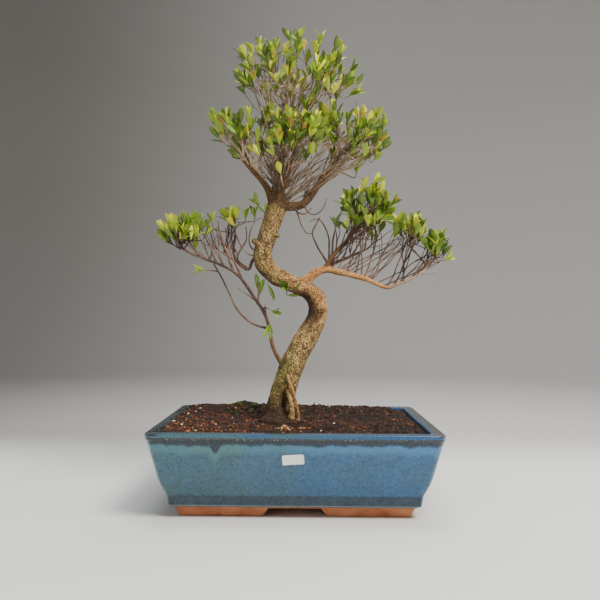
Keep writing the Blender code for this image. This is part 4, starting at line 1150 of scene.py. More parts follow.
def lay(x, y, size, rng, tilt, lift=0.0):
    """Where a scrap lies: turned any way round, tilted a little, on the soil."""
    turn = Matrix.Rotation(rng.uniform(0.0, 2 * math.pi), 4, "Z")
    for axis in "XY":
        turn = turn @ Matrix.Rotation(rng.uniform(-tilt, tilt), 4, axis)
    return Matrix.Translation((x, y, soil_surface(x, y) + lift)) @ turn @ Matrix.Scale(size, 4)


def make_chips(look):
    """Bark chips and grit on the soil, paler and more orange at the left and in front of the trunk."""
    rng = random.Random(SEED + 1)
    templates = [scrap_template(rng, flat) for flat in (0.22, 0.3, 0.4, 0.55, 0.6)]
    work = bmesh.new()
    work.faces.layers.float.new("tone")
    for number in range(SOIL_CHIPS):
        x, y = on_soil(rng)
        left = max(0.0, -x / 160.0) * (1.0 - smooth_step(y, -40.0, 60.0))
        tone = min(1.0, max(0.0, rng.gauss(0.24 + 0.32 * left, 0.24)))
        size = rng.uniform(1.6, 4.6) * (1.5 if rng.random() < 0.08 else 1.0)
        plant(work, templates[number % len(templates)], lay(x, y, size, rng, 0.5, 0.25), tone)
    for number in range(34):
        x = rng.gauss(-4.0, 11.0)
        y = rng.gauss(-62.0, 6.0)
        sliver = lay(x, y, rng.uniform(3.0, 6.5), rng, 0.35, 0.6) @ Matrix.Diagonal((1.2, 0.5, 1.0, 1.0))
        plant(work, templates[number % 3], sliver, rng.uniform(0.6, 0.95))
    for x, y in GRIT:
        plant(work, templates[4], lay(x, y, 3.4, rng, 0.3, 0.9), 1.0)
    for number in range(RIM_CRUMBS):
        x = -(POT_LENGTH / 2 - RIM_WIDTH) - abs(rng.gauss(0.0, 4.0)) + 1.0
        x = max(x, -POT_LENGTH / 2 + 4.0)
        crumb = lay(x, rng.uniform(-112.0, 120.0), rng.uniform(1.6, 4.0), rng, 0.5)
        crumb.translation.z = POT_TOP + 0.4
        plant(work, templates[number % len(templates)], crumb, max(0.0, rng.gauss(0.14, 0.16)))
    settle(to_piece("soil_bark_chips", work, [look], 30.0))


def make_fibres(look):
    """Root hairs, needles and bent slivers lying on the soil."""
    rng = random.Random(SEED + 2)
    runs = []
    for _ in range(SOIL_FIBRES):
        x, y = on_soil(rng)
        turn = rng.uniform(0.0, 2 * math.pi)
        length = rng.uniform(5.0, 19.0)
        bow = rng.uniform(-0.3, 0.3)
        radius = rng.uniform(0.22, 0.5)
        run = []
        for step in range(5):
            t = step / 4 - 0.5
            px = x + length * (t * math.cos(turn) - bow * t * t * math.sin(turn))
            py = y + length * (t * math.sin(turn) + bow * t * t * math.cos(turn))
            px, py = within_wall(px, py, RIM_WIDTH + 1.0)
            run.append(Vector((px, py, soil_surface(px, py) + 0.5 + rng.uniform(0.0, 0.5), radius)))
        runs.append(run)
    runs.append([Vector(p) for p in ((27, 50, 108, 0.9), (24, 49, 113, 0.8), (25, 48, 117, 0.5))])
    runs.append([Vector(p) for p in ((24, 49, 112, 0.6), (20, 48, 114, 0.4))])
    settle(to_piece("soil_fibres", tube_work(runs, 0), [look], 60.0))


def moss_template(rng):
    """A tuft of moss: a low dome of short pointed leaflets."""
    work = bmesh.new()
    work.faces.layers.float.new("tone")
    bmesh.ops.create_icosphere(work, subdivisions=1, radius=0.5)
    for face in list(work.faces):
        spike = bmesh.ops.poke(work, faces=[face])["verts"][0]
        spike.co = spike.co * rng.uniform(1.15, 1.5)
    for vertex in work.verts:
        vertex.co.z *= 0.6
    mesh = bpy.data.meshes.new("tuft")
    work.to_mesh(mesh)
    work.free()
    return mesh


def make_moss(look):
    """Moss on the rear mound, with a few crumbs of it along the front rim."""
    rng = random.Random(SEED + 3)
    templates = [moss_template(rng) for _ in range(3)]
    work = bmesh.new()
    work.faces.layers.float.new("tone")
    for number in range(MOSS_TUFTS):
        dark = 0.0
        if number < 90:
            x = rng.gauss(-74.0, 13.0)
            y = rng.gauss(52.0, 12.0)
            size = rng.uniform(3.0, 7.0)
        elif number < 150:
            x = rng.uniform(-150.0, -92.0)
            y = rng.uniform(80.0, 104.0)
            size = rng.uniform(2.5, 5.5)
            dark = 0.28
        else:
            x, y = on_soil(rng)
            y = y if number % 3 else -(POT_DEPTH / 2 - RIM_WIDTH - rng.uniform(2.0, 8.0))
            size = rng.uniform(1.6, 3.2)
        tone = min(1.0, max(0.0, rng.gauss(0.4 - dark, 0.25)))
        plant(work, templates[number % 3], lay(x, y, size, rng, 0.3, 0.2), tone)
    settle(to_piece("soil_moss", work, [look], 50.0))


def crown_ring(z):
    """Lobed outline of the root crown, tapering to the trunk above the soil."""
    taper = min(1.0, max(0.0, (z - CROWN_STRAIGHT_Z) / (CROWN_TOP_Z - CROWN_STRAIGHT_Z)))
    middle = Vector(CROWN_CENTRE).lerp(Vector((-21.0, -12.0)), taper)
    size = 1.0 - 0.62 * math.sin(taper * math.pi / 2)
    ring = []
    for i in range(48):
        angle = 2 * math.pi * i / 48
        lobe = 1.0 + 0.06 * math.cos(3 * angle + 2.6) + 0.03 * math.cos(5 * angle + 1.0)
        x = middle.x + CROWN_RADII[0] * lobe * size * math.cos(angle)
        y = middle.y + CROWN_RADII[1] * lobe * size * math.sin(angle)
        ring.append(Vector((x, y, z)))
    return ring


def curve_point(points, place):
    """Point and radius on the smooth curve through a limb's points."""
    last = len(points) - 1
    index = min(int(place), last - 1)
    t = place - index
    a, b, c, d = [Vector(points[min(max(index + k, 0), last)]) for k in (-1, 0, 1, 2)]
    turn = 2.0 * b + (c - a) * t + (2.0 * a - 5.0 * b + 4.0 * c - d) * t * t
    return 0.5 * (turn + (3.0 * b - a - 3.0 * c + d) * t * t * t)


def resample(points, step):
    """Points (x, y, z, radius) along a limb about one step apart."""
    fine = [curve_point(points, i / 8.0) for i in range(8 * (len(points) - 1) + 1)]
    travelled = [0.0]
    for before, after in zip(fine, fine[1:]):
        travelled.append(travelled[-1] + (after.xyz - before.xyz).length)
    count = max(2, round(travelled[-1] / step))
    picked = []
    for i in range(count + 1):
        goal = travelled[-1] * i / count
        nearest = min(range(len(fine)), key=lambda k: abs(travelled[k] - goal))
        picked.append(fine[nearest])
    return picked


def frames_along(points):
    """Direction and side vectors at each point, turning as little as possible."""
    frames = []
    side = Vector((0.0, -1.0, 0.0))
    last = len(points) - 1
    for i in range(last + 1):
        ahead = (points[min(i + 1, last)].xyz - points[max(i - 1, 0)].xyz).normalized()
        side = (side - ahead * side.dot(ahead)).normalized()
        frames.append((ahead, side, ahead.cross(side)))
    return frames


def tube_work(runs, bevel_steps):
    """A bmesh of round closed tubes along runs of points (x, y, z, radius)."""
    curve = bpy.data.curves.new("runs", "CURVE")
    curve.dimensions = "3D"
    curve.bevel_depth = 1.0
    curve.bevel_resolution = bevel_steps
    curve.use_fill_caps = True
    for run in runs:
        spline = curve.splines.new("POLY")
        spline.points.add(len(run) - 1)
        for knot, point in zip(spline.points, run):
            knot.co = (*point.xyz, 1.0)
            knot.radius = point[3]
    guide = bpy.data.objects.new("runs", curve)
    bpy.context.scene.collection.objects.link(guide)
    work = from_mesh(evaluated(guide))
    bpy.data.curves.remove(curve)
    bmesh.ops.remove_doubles(work, verts=work.verts, dist=0.0005)
    return work


def pad_sites(centre, size, count, spin):
    """Foot, direction and stem length of each shoot in a pad, spread by the golden angle."""
    sites = []
    centre = Vector(centre)
    rng = random.Random(SEED + spin)
    for k in range(count):
        height = PAD_HIGHEST + (PAD_LOWEST - PAD_HIGHEST) * (k + 0.5) / count
        turn = k * math.pi * (3.0 - math.sqrt(5.0)) + spin
        level = math.sqrt(1.0 - height * height)
        outward = Vector((math.cos(turn) * level, math.sin(turn) * level, height))
        reach = Vector([outward[i] * (size[i] - LEAF_REACH[i]) for i in range(3)])
        direction = (outward + Vector((0.0, 0.0, 0.9))).normalized()
        length = min(rng.uniform(*STEM_LENGTH), 1.15 * min(size))
        sites.append((centre + reach - direction * length, direction, length))
    return sites


def finer_sites(centre, size, count, spin, lowest):
    """More shoots among a pad's own, some of them deeper inside it."""
    sites = []
    centre = Vector(centre)
    rng = random.Random(SEED + 100 + spin)
    for k in range(count):
        height = 0.98 + (lowest - 0.98) * (k + rng.random()) / count
        turn = k * math.pi * (3.0 - math.sqrt(5.0)) + spin + 1.3
        level = math.sqrt(1.0 - height * height)
        outward = Vector((math.cos(turn) * level, math.sin(turn) * level, height))
        share = rng.uniform(0.4, 1.0) ** 0.6
        reach = Vector([outward[i] * (size[i] - LEAF_REACH[i]) * share for i in range(3)])
        direction = (outward * 0.8 + Vector((rng.gauss(0, 0.15), rng.gauss(0, 0.15), 1.0))).normalized()
        length = rng.uniform(12.0, 26.0)
        sites.append((centre + reach - direction * length, direction, length))
    return sites


def joints_of(limb, first, last):
    """Places on a limb where a twig can leave it: point, direction and radius."""
    frames = frames_along(limb)
    return [(p.xyz, f[0], p[3]) for p, f in zip(limb[first:last], frames[first:last])]


def best_joint(site, joints, best=None):
    """The joint from which a twig reaches the site by the shortest and straightest way."""
    foot = site[0]
    for place, ahead, radius in joints:
        reach = foot - place
        distance = max(reach.length, 0.001)
        turn = 1.0 - reach.dot(ahead) / distance
        below = max(0.0, place.z - foot.z)
        cost = distance * (1.0 + FORK_COST * turn) + below
        if best is None or cost < best[0]:
            best = (cost, place, ahead, radius)
    return best


def twig_points(place, ahead, radius, site, number, step, start_radius=None, end_radius=TWIG_END_RADIUS):
    """Curved run of points from inside a limb to a shoot's foot."""
    foot, direction = site[:2]
    place = place - ahead * radius * (0.3 + 0.1 * (number % 5))
    distance = (foot - place).length
    first = place + (ahead + (foot - place).normalized()).normalized() * distance * 0.35
    second = foot - direction * distance * 0.35
    start = min(0.8 * radius, start_radius or 1.15 + distance / 55.0)
    steps = max(2, round(distance / step))
    points = []
    for i in range(steps + 1):
        t = i / steps
        s = 1.0 - t
        p = place * s ** 3 + first * 3 * s * s * t + second * 3 * s * t * t + foot * t ** 3
        points.append(Vector((*p, start + (end_radius - start) * t)))
    return points


def kinked(points, rng, size):
    """The run with slight bends and swellings at its leaf scars; its ends stay."""
    result = []
    last = len(points) - 1
    shift = Vector((rng.uniform(0, 50), rng.uniform(0, 50), rng.uniform(0, 50)))
    for i, point in enumerate(points):
        fade = math.sin(math.pi * i / last)
        spot = point.xyz / 14.0 + shift
        wander = noise.noise_vector(spot) * size * fade
        swell = 1.0 + 0.16 * noise.noise(spot * 3.0)
        result.append(Vector((*(point.xyz + wander), point[3] * swell)))
    return result


def grow_twigs(sites, limbs, finer, straight, crown):
    """Twigs to every shoot. The model's own shoots come first, always the nearest one next; the
    finer ones then fork from what stands, or rise straight from the crown's limbs."""
    joints = []
    for limb in limbs:
        joints += joints_of(limb, 2, -1)
    runs = []
    waiting = {number: best_joint(site, joints) for number, site in enumerate(sites)}
    while waiting:
        number = min(waiting, key=lambda n: waiting[n][0])
        _, place, ahead, radius = waiting.pop(number)
        site = sites[number]
        twig = twig_points(place, ahead, radius, site, len(runs), WOOD_STEP)
        runs.append(twig_points(place, ahead, radius, site, len(runs), DRAW_STEP))
        grown = joints_of(twig, 1, -1)
        joints += grown
        for other in waiting:
            waiting[other] = best_joint(sites[other], grown, waiting[other])
    bases = []
    for limb in crown:
        bases += joints_of(limb, 1, max(3, len(limb) // 2))
    for number, site in enumerate(finer):
        _, place, ahead, radius = best_joint(site, joints)
        twig = twig_points(place, ahead, radius, site, number, WOOD_STEP, 1.15)
        runs.append(twig_points(place, ahead, radius, site, number, DRAW_STEP, 1.15, 0.6))
        joints += joints_of(twig, 1, -1)
    for number, site in enumerate(straight):
        _, place, ahead, radius = best_joint(site, bases)
        runs.append(twig_points(place, ahead, radius, site, number, DRAW_STEP, 1.3, 0.6))
    return runs, joints


def sprig_sites(pad):
    """The sprigs of a pad that are seen one by one, each with its own tone, and those behind them."""
    rng = random.Random(SEED + 200 + list(PADS).index(pad))
    centre, half_size = [Vector(value) for value in PADS[pad][:2]]
    sites = []
    for number, (x, y, z, reach_x, reach_z, tone) in enumerate(SPRIGS.get(pad, [])):
        reach = Vector((reach_x, rng.uniform(-0.3, 0.15) * reach_z, reach_z))
        length = max(3.0, reach.length - 0.85 * LEAF_LENGTH[1])
        sites.append((Vector((x, y, z)), reach.normalized(), length, tone))
        if pad in DEEP and number % 2 == 0:
            depth = min(2.0 * centre.y - y + rng.uniform(4.0, 16.0), centre.y + half_size.y - 16.0)
            back = Vector((x + rng.gauss(0.0, 8.0), depth, z + rng.uniform(-12.0, 3.0)))
            away = Vector((reach_x, 0.4 * abs(reach_z) + 2.0, reach_z + 4.0)).normalized()
            sites.append((back, away, length, min(tone, 0.5)))
    return sites


def tuft_site(run, rng):
    """A short leafy stem that goes on from a twig's end."""
    way = (run[-1].xyz - run[-2].xyz).normalized()
    direction = (way + Vector((rng.gauss(0, 0.15), rng.gauss(0, 0.15), 0.45))).normalized()
    return run[-1].xyz - direction * 1.0, direction, rng.uniform(*TUFT_STEM)


def held(point, pad):
    """The point, drawn up or in where a tuft on it would stick out of its pad or hang below it."""
    centre, size = [Vector(value) for value in PADS[pad][:2]]
    room = Vector([max(size[i] - TUFT_REACH[i], 5.0) for i in range(3)])
    offset = point - centre
    side = 1.0 if centre.x > 0 else -1.0
    outward = offset.x if abs(centre.x) < 30.0 or offset.x * side > 0 else 0.0
    upward = max(0.0, offset.z)
    share = Vector((outward / room.x, offset.y / room.y, upward / room.z)).length
    if share > 1.0:
        offset.y /= share
        offset.x = offset.x / share if outward else offset.x
        offset.z = offset.z / share if upward else offset.z
    return centre + offset


def spray_twigs(limbs):
    """Thin straight twigs that rise together from a stretch of limb and fork on the way, and the
    leafy tufts at their ends."""
    rng = random.Random(SEED + 6)
    runs = []
    tufts = {name: [] for name in PADS}
    for name, stretch, centre, size, pad, count in SPRAYS:
        limb = limbs[name]
        frames = frames_along(limb)
        for number in range(count):
            index = min(len(limb) - 2, int(len(limb) * rng.uniform(*stretch)))
            knot = limb[index]
            goal = Vector([centre[i] + size[i] * rng.uniform(-0.8, 0.8) for i in range(3)])
            goal = held(goal, pad) if pad else goal
            straight = (goal - knot.xyz).normalized()
            ahead = (frames[index][0] * 0.6 + straight * 2.0).normalized()
            main = twig_points(knot.xyz, ahead, min(knot[3], 4.0), (goal, straight, 0.0), number, 6.0,
                               SPRAY_RADIUS, SPRAY_TIP_RADIUS)
            added = [main]
            for _ in range(rng.choice((1, 1, 2, 2))):
                start = main[int(len(main) * rng.uniform(0.35, 0.75))]
                reach = (goal - start.xyz).length
                side = Vector((rng.gauss(0, 1), rng.gauss(0, 1), rng.gauss(0.0, 0.5))).normalized()
                end = goal + side * min(22.0, 0.5 * reach)
                end = held(end, pad) if pad else end
                way = (end - start.xyz).normalized()
                added.append(twig_points(start.xyz, way, start[3], (end, way, 0.0), number, 6.0,
                                         start[3], SPRAY_TIP_RADIUS * 0.9))
            runs += added
            if pad:
                tufts[pad] += [tuft_site(run, rng) for run in added
                               if rng.random() < LEAFY_SHARES[run[-1].y > PADS[pad][0][1] + 6.0]]
    return runs, tufts


def bare_twigs(joints):
    """Short leafless twigs, left where old shoots have died back."""
    rng = random.Random(SEED + 4)
    runs = []
    upper = [joint for joint in joints if joint[0].z > 225.0 and joint[2] < 5.5]
    for number in range(BARE_TWIGS):
        place, ahead, radius = rng.choice(upper)
        lean = Vector((rng.gauss(0, 0.5), rng.gauss(0, 0.5), rng.uniform(0.2, 1.0)))
        direction = (ahead * 0.6 + lean).normalized()
        length = rng.uniform(10.0, 34.0)
        site = (place + direction * length, direction, 0.0)
        run = twig_points(place, ahead, radius, site, number, 5.0, 0.9)
        runs.append([Vector((*p.xyz, p[3] * (1.0 - 0.5 * i / len(run)))) for i, p in enumerate(run)])
    return runs


def split_limb(limb):
    """A limb's thick part, which is one skin with the trunk, and its thin rest."""
    thick = [point for point in limb if point[3] >= THICK]
    rest = limb[max(0, len(thick) - 2):]
    return thick, rest


class Axis:
    """The wood's middle lines: for any point of the skin, where it lies along and round its limb."""

    def __init__(self, runs):
        self.rows = []
        for number, (run, kind) in enumerate(runs):
            travelled = 40.0 * number
            frames = frames_along(run)
            for i, (point, frame) in enumerate(zip(run, frames)):
                travelled += (point.xyz - run[max(i - 1, 0)].xyz).length
                self.rows.append((point, frame, travelled, kind))
        self.roots = self.plant_tree([i for i, row in enumerate(self.rows) if row[3] == "root"])
        self.others = self.plant_tree([i for i, row in enumerate(self.rows) if row[3] != "root"])

    def plant_tree(self, numbers):
        """A search tree of some of the rows."""
        tree = KDTree(len(numbers))
        for number in numbers:
            tree.insert(self.rows[number][0].xyz, number)
        tree.balance()
        return tree

    def locate(self, place):
        """Grain coordinates in millimetres, the limb's radius there and its kind."""
        found = [(distance - self.rows[index][0][3], index)
                 for _, index, distance in self.others.find_n(place, 5)]
        _, index, distance = self.roots.find(place)
        gap = distance - self.rows[index][0][3]
        if gap < ROOT_SKIN:
            found.append((gap, index))
        point, (ahead, side, other), travelled, kind = self.rows[min(found)[1]]
        offset = place - point.xyz
        along = travelled + offset.dot(ahead)
        return Vector((offset.dot(side), offset.dot(other), 0.5 * along)), point[3], kind


def smooth_step(value, low, high):
    t = min(1.0, max(0.0, (value - low) / (high - low)))
    return t * t * (3.0 - 2.0 * t)


def weather(work, axis):
    """Give the smooth wood its lumps, flakes and cracks, and note where it is mossy, soiled or painted with
    shade.
    """
    grain_layer = work.verts.layers.float_vector.new("grain")
    crevice_layer = work.verts.layers.float.new("crevice")
    warm_layer = work.verts.layers.float.new("warm")
    moss_layer = work.verts.layers.float.new("moss")
    soil_and_shade_layer = work.verts.layers.float.new("soil_and_shade")
    calm_layer = work.verts.layers.float.new("calm")
    work.normal_update()
    moves = []
    for vertex in work.verts:
        place = vertex.co.copy()
        normal = vertex.normal.copy()
        grain, radius, kind = axis.locate(place)
        strength = min(1.0, radius / 9.0)
        cells, _ = noise.voronoi(grain / 2.9 + noise.noise_vector(grain / 4.0) * 0.7)
        crack = 1.0 - smooth_step(cells[1] - cells[0], 0.02, 0.24)
        rough = noise.noise(grain / 1.9)
        lump = noise.noise(place / 17.0)
        ridge = noise.noise(grain / 6.5)
        push = strength * (1.6 * lump + 0.9 * ridge - 0.12 * crack + 0.45 * rough)
        if kind == "root":
            push += 0.7 * noise.noise(place / 3.4)
        # Hollow between the roots at the front: pushed in, and painted dark as shade
        hollow_and_shade = 0.0
        if kind == "trunk":
            deep = math.exp(-((place.x + 14.0) / 8.5) ** 2) * math.exp(-((place.z - 120.0) / 27.0) ** 2)
            hollow_and_shade = deep * smooth_step(-normal.y, 0.0, 0.5)
            push -= 6.0 * hollow_and_shade
        vertex[grain_layer] = grain
        vertex[crevice_layer] = 0.15 * crack if kind == "root" else crack * (0.3 + 0.7 * strength)
        curve = math.exp(-((place.z - 268.0) / 34.0) ** 2) * smooth_step(place.x, -48.0, -4.0)
        vertex[calm_layer] = 0.2 if kind == "root" else 0.65 * (1.0 - strength)
        warm = 0.75 * curve + WARMTH.get(kind, 0.0)
        vertex[warm_layer] = min(1.0, warm + 0.25 * noise.noise(place / 25.0))
        low_left = smooth_step(-normal.x, -0.3, 0.7) * smooth_step(-place.z, -225.0, -150.0)
        low_left *= smooth_step(place.z, 108.0, 136.0)
        collar = math.exp(-((place.z - 300.0) / 16.0) ** 2) * smooth_step(-normal.z, -0.4, 0.6)
        bloom = math.exp(-((place.z - 166.0) / 17.0) ** 2) * smooth_step(-normal.x, -0.6, 0.4)
        edge = 0.5 * smooth_step(-normal.x, 0.1, 0.8) * smooth_step(place.z, 290.0, 320.0)
        vertex[moss_layer] = min(1.0, 0.9 * low_left + 0.4 * collar + 0.8 * bloom + edge)
        soiled = smooth_step(-place.z + 7.0 * noise.noise(place / 9.0), -142.0, -112.0)
        # Painted shade on the sides that face down and to the left
        under = 0.85 * smooth_step(-0.5 * normal.x - 0.87 * normal.z, 0.42, 1.0)
        # Painted shade on the inner side of the lower bend, and painted shade on the knot under the crown
        inner = 0.0
        if kind == "trunk":
            inner = 0.97 * (1.0 - smooth_step(math.hypot(place.x + 15.0, place.z - 240.0), 36.0, 49.0))
            inner *= smooth_step(-place.z, -278.0, -262.0) * smooth_step(place.z, 214.0, 240.0)
        knot = 0.9 * math.exp(-((place.x - 17.0) / 9.0) ** 2) * math.exp(-((place.z - 394.0) / 15.0) ** 2)
        # All wood a little darker above about 300 mm
        darker_above = 0.14 * smooth_step(place.z, 296.0, 330.0)
        # Darkest of the soil on the foot, the painted shade and the limbs' darker bark
        dark = max(soiled * 0.95, hollow_and_shade, under, inner, knot, darker_above, SHADE.get(kind, 0.0))
        vertex[soil_and_shade_layer] = 0.2 * soiled if kind == "root" else dark
        moves.append(place + normal * push)
    for vertex, place in zip(work.verts, moves):
        vertex.co = place


def make_wood(limbs, bark):
    """Trunk, root crown, roots and thick limbs as one skin with rough bark."""
    trunk = resample([Vector(p) for p in TRUNK], DRAW_STEP)
    roots = [resample([Vector(p) for p in root], DRAW_STEP) for root in ROOTS]
    stubs = [[Vector(p) for p in stub] for stub in STUBS]
    thick = [split_limb(limb)[0] for limb in limbs]
    thick = [limb for limb in thick if len(limb) > 2]
    work = tube_work([trunk] + roots + stubs + thick, 6)
    levels = [CROWN_BOTTOM_Z + i * (CROWN_TOP_Z - CROWN_BOTTOM_Z) / 24 for i in range(25)]
    crown = skin([crown_ring(z) for z in levels])
    mesh = bpy.data.meshes.new("crown")
    crown.to_mesh(mesh)
    crown.free()
    work.from_mesh(mesh)
    body = scratch("wood", work)
    remesh = body.modifiers.new("one skin", "REMESH")
    remesh.mode = "VOXEL"
    remesh.voxel_size = BARK_VOXEL
    work = from_mesh(evaluated(body))
    for _ in range(2):
        bmesh.ops.smooth_vert(work, verts=work.verts, factor=0.5, use_axis_x=True, use_axis_y=True,
                              use_axis_z=True)
    kinds = ["crown"] * len(CROWN_LIMBS) + ["branch", "riser", "riser", "left", "left", "left"]
    runs = [(trunk, "trunk")] + [(root, "root") for root in roots]
    runs += list(zip(limbs, kinds))
    weather(work, Axis(runs))
    settle(to_piece("trunk_bark", work, [bark], 180.0), ["trunk"])


def leaf_template(curl, fold, width):
    """An obovate blade drawn from a grid: narrow stalk, widest past the middle, blunt tip."""
    work = bmesh.new()
    work.faces.layers.float.new("tone")
    under = work.faces.layers.float.new("underside")
    bmesh.ops.create_grid(work, x_segments=2, y_segments=7, size=0.5)
    uv = work.loops.layers.uv.new("blade")
    for face in work.faces:
        for loop in face.loops:
            loop[uv].uv = (loop.vert.co.x + 0.5, loop.vert.co.y + 0.5)
    for vertex in work.verts:
        across = 2.0 * vertex.co.x
        along = vertex.co.y + 0.5
        rise = max(0.0, math.sin(math.pi * along ** 1.35)) ** 0.7
        half = 0.012 + width * rise * smooth_step(along, -0.05, 0.25)
        lift = fold * abs(across) * half
        vertex.co = Vector((across * half, along, lift - curl * along * along))
    bmesh.ops.solidify(work, geom=work.faces[:], thickness=LEAF_THICKNESS)
    bmesh.ops.recalc_face_normals(work, faces=work.faces)
    for face in work.faces:
        face[under] = 1.0 if face.normal.z < -0.2 else 0.0
    mesh = bpy.data.meshes.new("leaf")
    work.to_mesh(mesh)
    work.free()
    return mesh


def blade_matrix(spot, out, up, size):
    """Places a blade with its foot at a spot, pointing out, with its upper face up."""
    across = out.cross(up).normalized()
    up = across.cross(out).normalized()
    turned = Matrix((across, out, up)).transposed().to_4x4()
    return Matrix.Translation(spot) @ turned @ Matrix.Scale(size, 4)


def stem_points(site, rng):
    """Bent middle line of a shoot's stem."""
    foot, direction, length = site[:3]
    bend = Vector([rng.uniform(-1.0, 1.0) for _ in range(3)]) + Vector((0.0, 0.0, 0.5))
    bend = (bend - direction * bend.dot(direction)) * 0.16
    points = []
    for i in range(5):
        t = i / 4.0
        p = foot + direction * t * length + bend * t * t * length
        points.append(Vector((*p, STEM_RADIUS + (STEM_TIP_RADIUS - STEM_RADIUS) * t)))
    return points


def dress_stem(work, templates, points, rng, youth_and_light, character, drift):
    """Leaves in opposite pairs, each turned a quarter from the last, upright round the tip. Their tones
    drift from the stem's own."""
    big, _, narrow = character
    length = (points[-1].xyz - points[0].xyz).length
    pairs = max(1, round((length - 3.0) / LEAF_PITCH))
    start = rng.uniform(0.0, math.pi)
    ahead = (points[-1].xyz - points[0].xyz).normalized()
    side = ahead.orthogonal().normalized()
    for pair in range(pairs + 1):
        # The youngest two pairs share the tip
        back = max(0.0, pair - 0.75) * LEAF_PITCH + 0.6
        place = max(0.1, 1.0 - back / length)
        limits = TIP_LEAF_SPREAD if pair < 2 else LEAF_SPREAD
        for half in (0, 1):
            if pair > 1 and rng.random() < 0.12:
                continue
            spot = curve_point(points, place * (len(points) - 1)).xyz
            turn = start + pair * math.pi / 2 + half * math.pi + rng.uniform(-0.35, 0.35)
            spread = math.radians(rng.uniform(*limits) + (6.0 if pair == 1 else 0.0)) * narrow
            around = Matrix.Rotation(turn, 3, ahead) @ side
            out = ahead * math.cos(spread) + around * math.sin(spread)
            out = (out + Vector((0.0, 0.0, 0.18))).normalized()
            up = ahead * math.sin(spread) - around * math.cos(spread)
            size = big * rng.uniform(*LEAF_LENGTH) * (0.72 if pair == 0 else 1.0)
            matrix = blade_matrix(spot, out, up, size)
            fresh = youth_and_light + (0.12 if pair == 0 else 0.0) - 0.05 * pair
            tone = min(0.77 if youth_and_light < 0.8 else 0.94, rng.gauss(fresh, drift))
            if rng.random() < 0.025:
                tone = rng.uniform(0.82, 0.98)
            plant(work, rng.choice(templates), matrix, min(1.0, max(0.0, tone)))


def make_foliage(name, sites, nodes, looks, templates, seed, centre, size, character, single=()):
    """All the leafy shoots of one pad: stems in the first material, leaves in the second."""
    rng = random.Random(seed)
    stems = [stem_points(site, rng) for site in sites]
    work = bmesh.new()
    work.faces.layers.float.new("tone")
    work.faces.layers.float.new("underside")
    work.loops.layers.uv.new("blade")
    for site, points in zip(sites, stems):
        height = (points[-1].z - centre[2]) / size[2]
        # Higher leaves in a pad are lighter: partly new growth, partly painted light from above
        youth_and_light = 0.36 + 0.17 * height + rng.uniform(-0.12, 0.16) + character[1]
        if len(site) > 3:
            dress_stem(work, templates, points, rng, site[3], character, 0.09)
        else:
            dress_stem(work, templates, points, rng, youth_and_light, character, 0.2)
    for foot, tip, tone in single:
        reach = Vector(tip) - Vector(foot)
        facing = Vector((rng.uniform(-0.4, 0.4), -1.0, 0.4))
        place = blade_matrix(Vector(foot), reach.normalized(), facing, reach.length)
        plant(work, rng.choice(templates), place @ Matrix.Diagonal((0.68, 1.0, 1.0, 1.0)), tone)
    for face in work.faces:
        face.material_index = 1
    stem_mesh = bpy.data.meshes.new("stems")
    tubes = tube_work(stems, 1)
    tubes.to_mesh(stem_mesh)
    tubes.free()
    work.from_mesh(stem_mesh)
    settle(to_piece(name, work, looks, 70.0), nodes)


def nearest_pads():
    """The model's shoot nodes, sorted by the pad or bare-wood place that each stands in."""
    groups = {name: [] for name in PADS}
    groups["bare_wood"] = []
    for node in sorted(frame["nodes"]):
        if not node.startswith("shoot"):
            continue
        low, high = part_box(node)
        middle = (low + high) / 2 / MM - ORIGIN_SHIFT
        best = None
        for name, (centre, size, _, _) in PADS.items():
            gap = middle - Vector(centre)
            reach = Vector([gap[i] / size[i] for i in range(3)]).length
            if best is None or reach < best[0]:
                best = (reach, name)
        for foot, direction, length in LONE_SHOOTS:
            end = Vector(foot) + Vector(direction).normalized() * length
            if (middle - end).length < 16.0:
                best = (0.0, "bare_wood")
        groups[best[1]].append(node)
    return groups


def make_stage(look):
    """Level floor that sweeps up into a wall all round."""
    work = bmesh.new()
    rim = FLOOR_RADIUS + SWEEP_RADIUS
    profile = [(0.0, 0.0), (FLOOR_RADIUS * 0.5, 0.0)]
    for step in range(13):
        angle = math.radians(90.0 * step / 12)
        profile.append((FLOOR_RADIUS + SWEEP_RADIUS * math.sin(angle), SWEEP_RADIUS * (1 - math.cos(angle))))
    profile.append((rim, WALL_TOP))
    line = [work.verts.new((x, 0.0, z)) for x, z in profile]
    edges = [work.edges.new(pair) for pair in zip(line, line[1:])]
    bmesh.ops.spin(work, geom=line + edges, cent=(0, 0, 0), axis=(0, 0, 1), angle=2 * math.pi, steps=96,
                   use_merge=True)
    bmesh.ops.remove_doubles(work, verts=work.verts, dist=0.01)
    bmesh.ops.recalc_face_normals(work, faces=work.faces)
    if sum(face.normal.z for face in work.faces) < 0:
        bmesh.ops.reverse_faces(work, faces=work.faces)
    to_piece("studio_floor", work, [look], 180.0)


def add_light(name, place, target, size, power, colour):
    """A soft square lamp aimed at a point; lengths in metres."""
    lamp = bpy.data.lights.new(name, "AREA")
    lamp.size = size
    lamp.energy = power
    lamp.color = srgb(colour)[:3]
    item = bpy.data.objects.new(name, lamp)
    aim = (Vector(target) - Vector(place)).to_track_quat("-Z", "Y")
    item.matrix_world = Matrix.Translation(place) @ aim.to_matrix().to_4x4()
    bpy.context.scene.collection.objects.link(item)


def make_light():
    """Soft light from the upper right and above, a weak fill, and a grey sky over the studio."""
    add_light("key", (0.85, -0.85, 1.75), (0.0, 0.0, 0.3), 0.8, 58.0, "FFFAF0")
    add_light("fill", (-1.4, -1.2, 0.9), (0.0, 0.0, 0.2), 1.2, 9.0, "F4F8FF")
    add_light("top", (0.1, 0.3, 1.9), (0.0, 0.0, 0.3), 1.2, 26.0, "FFFFFF")
    world = bpy.data.worlds.new("studio air")
    world.use_nodes = True
    air = world.node_tree.nodes["Background"]
    air.inputs["Color"].default_value = srgb("D6D8DA")
    air.inputs["Strength"].default_value = 0.52
    bpy.context.scene.world = world


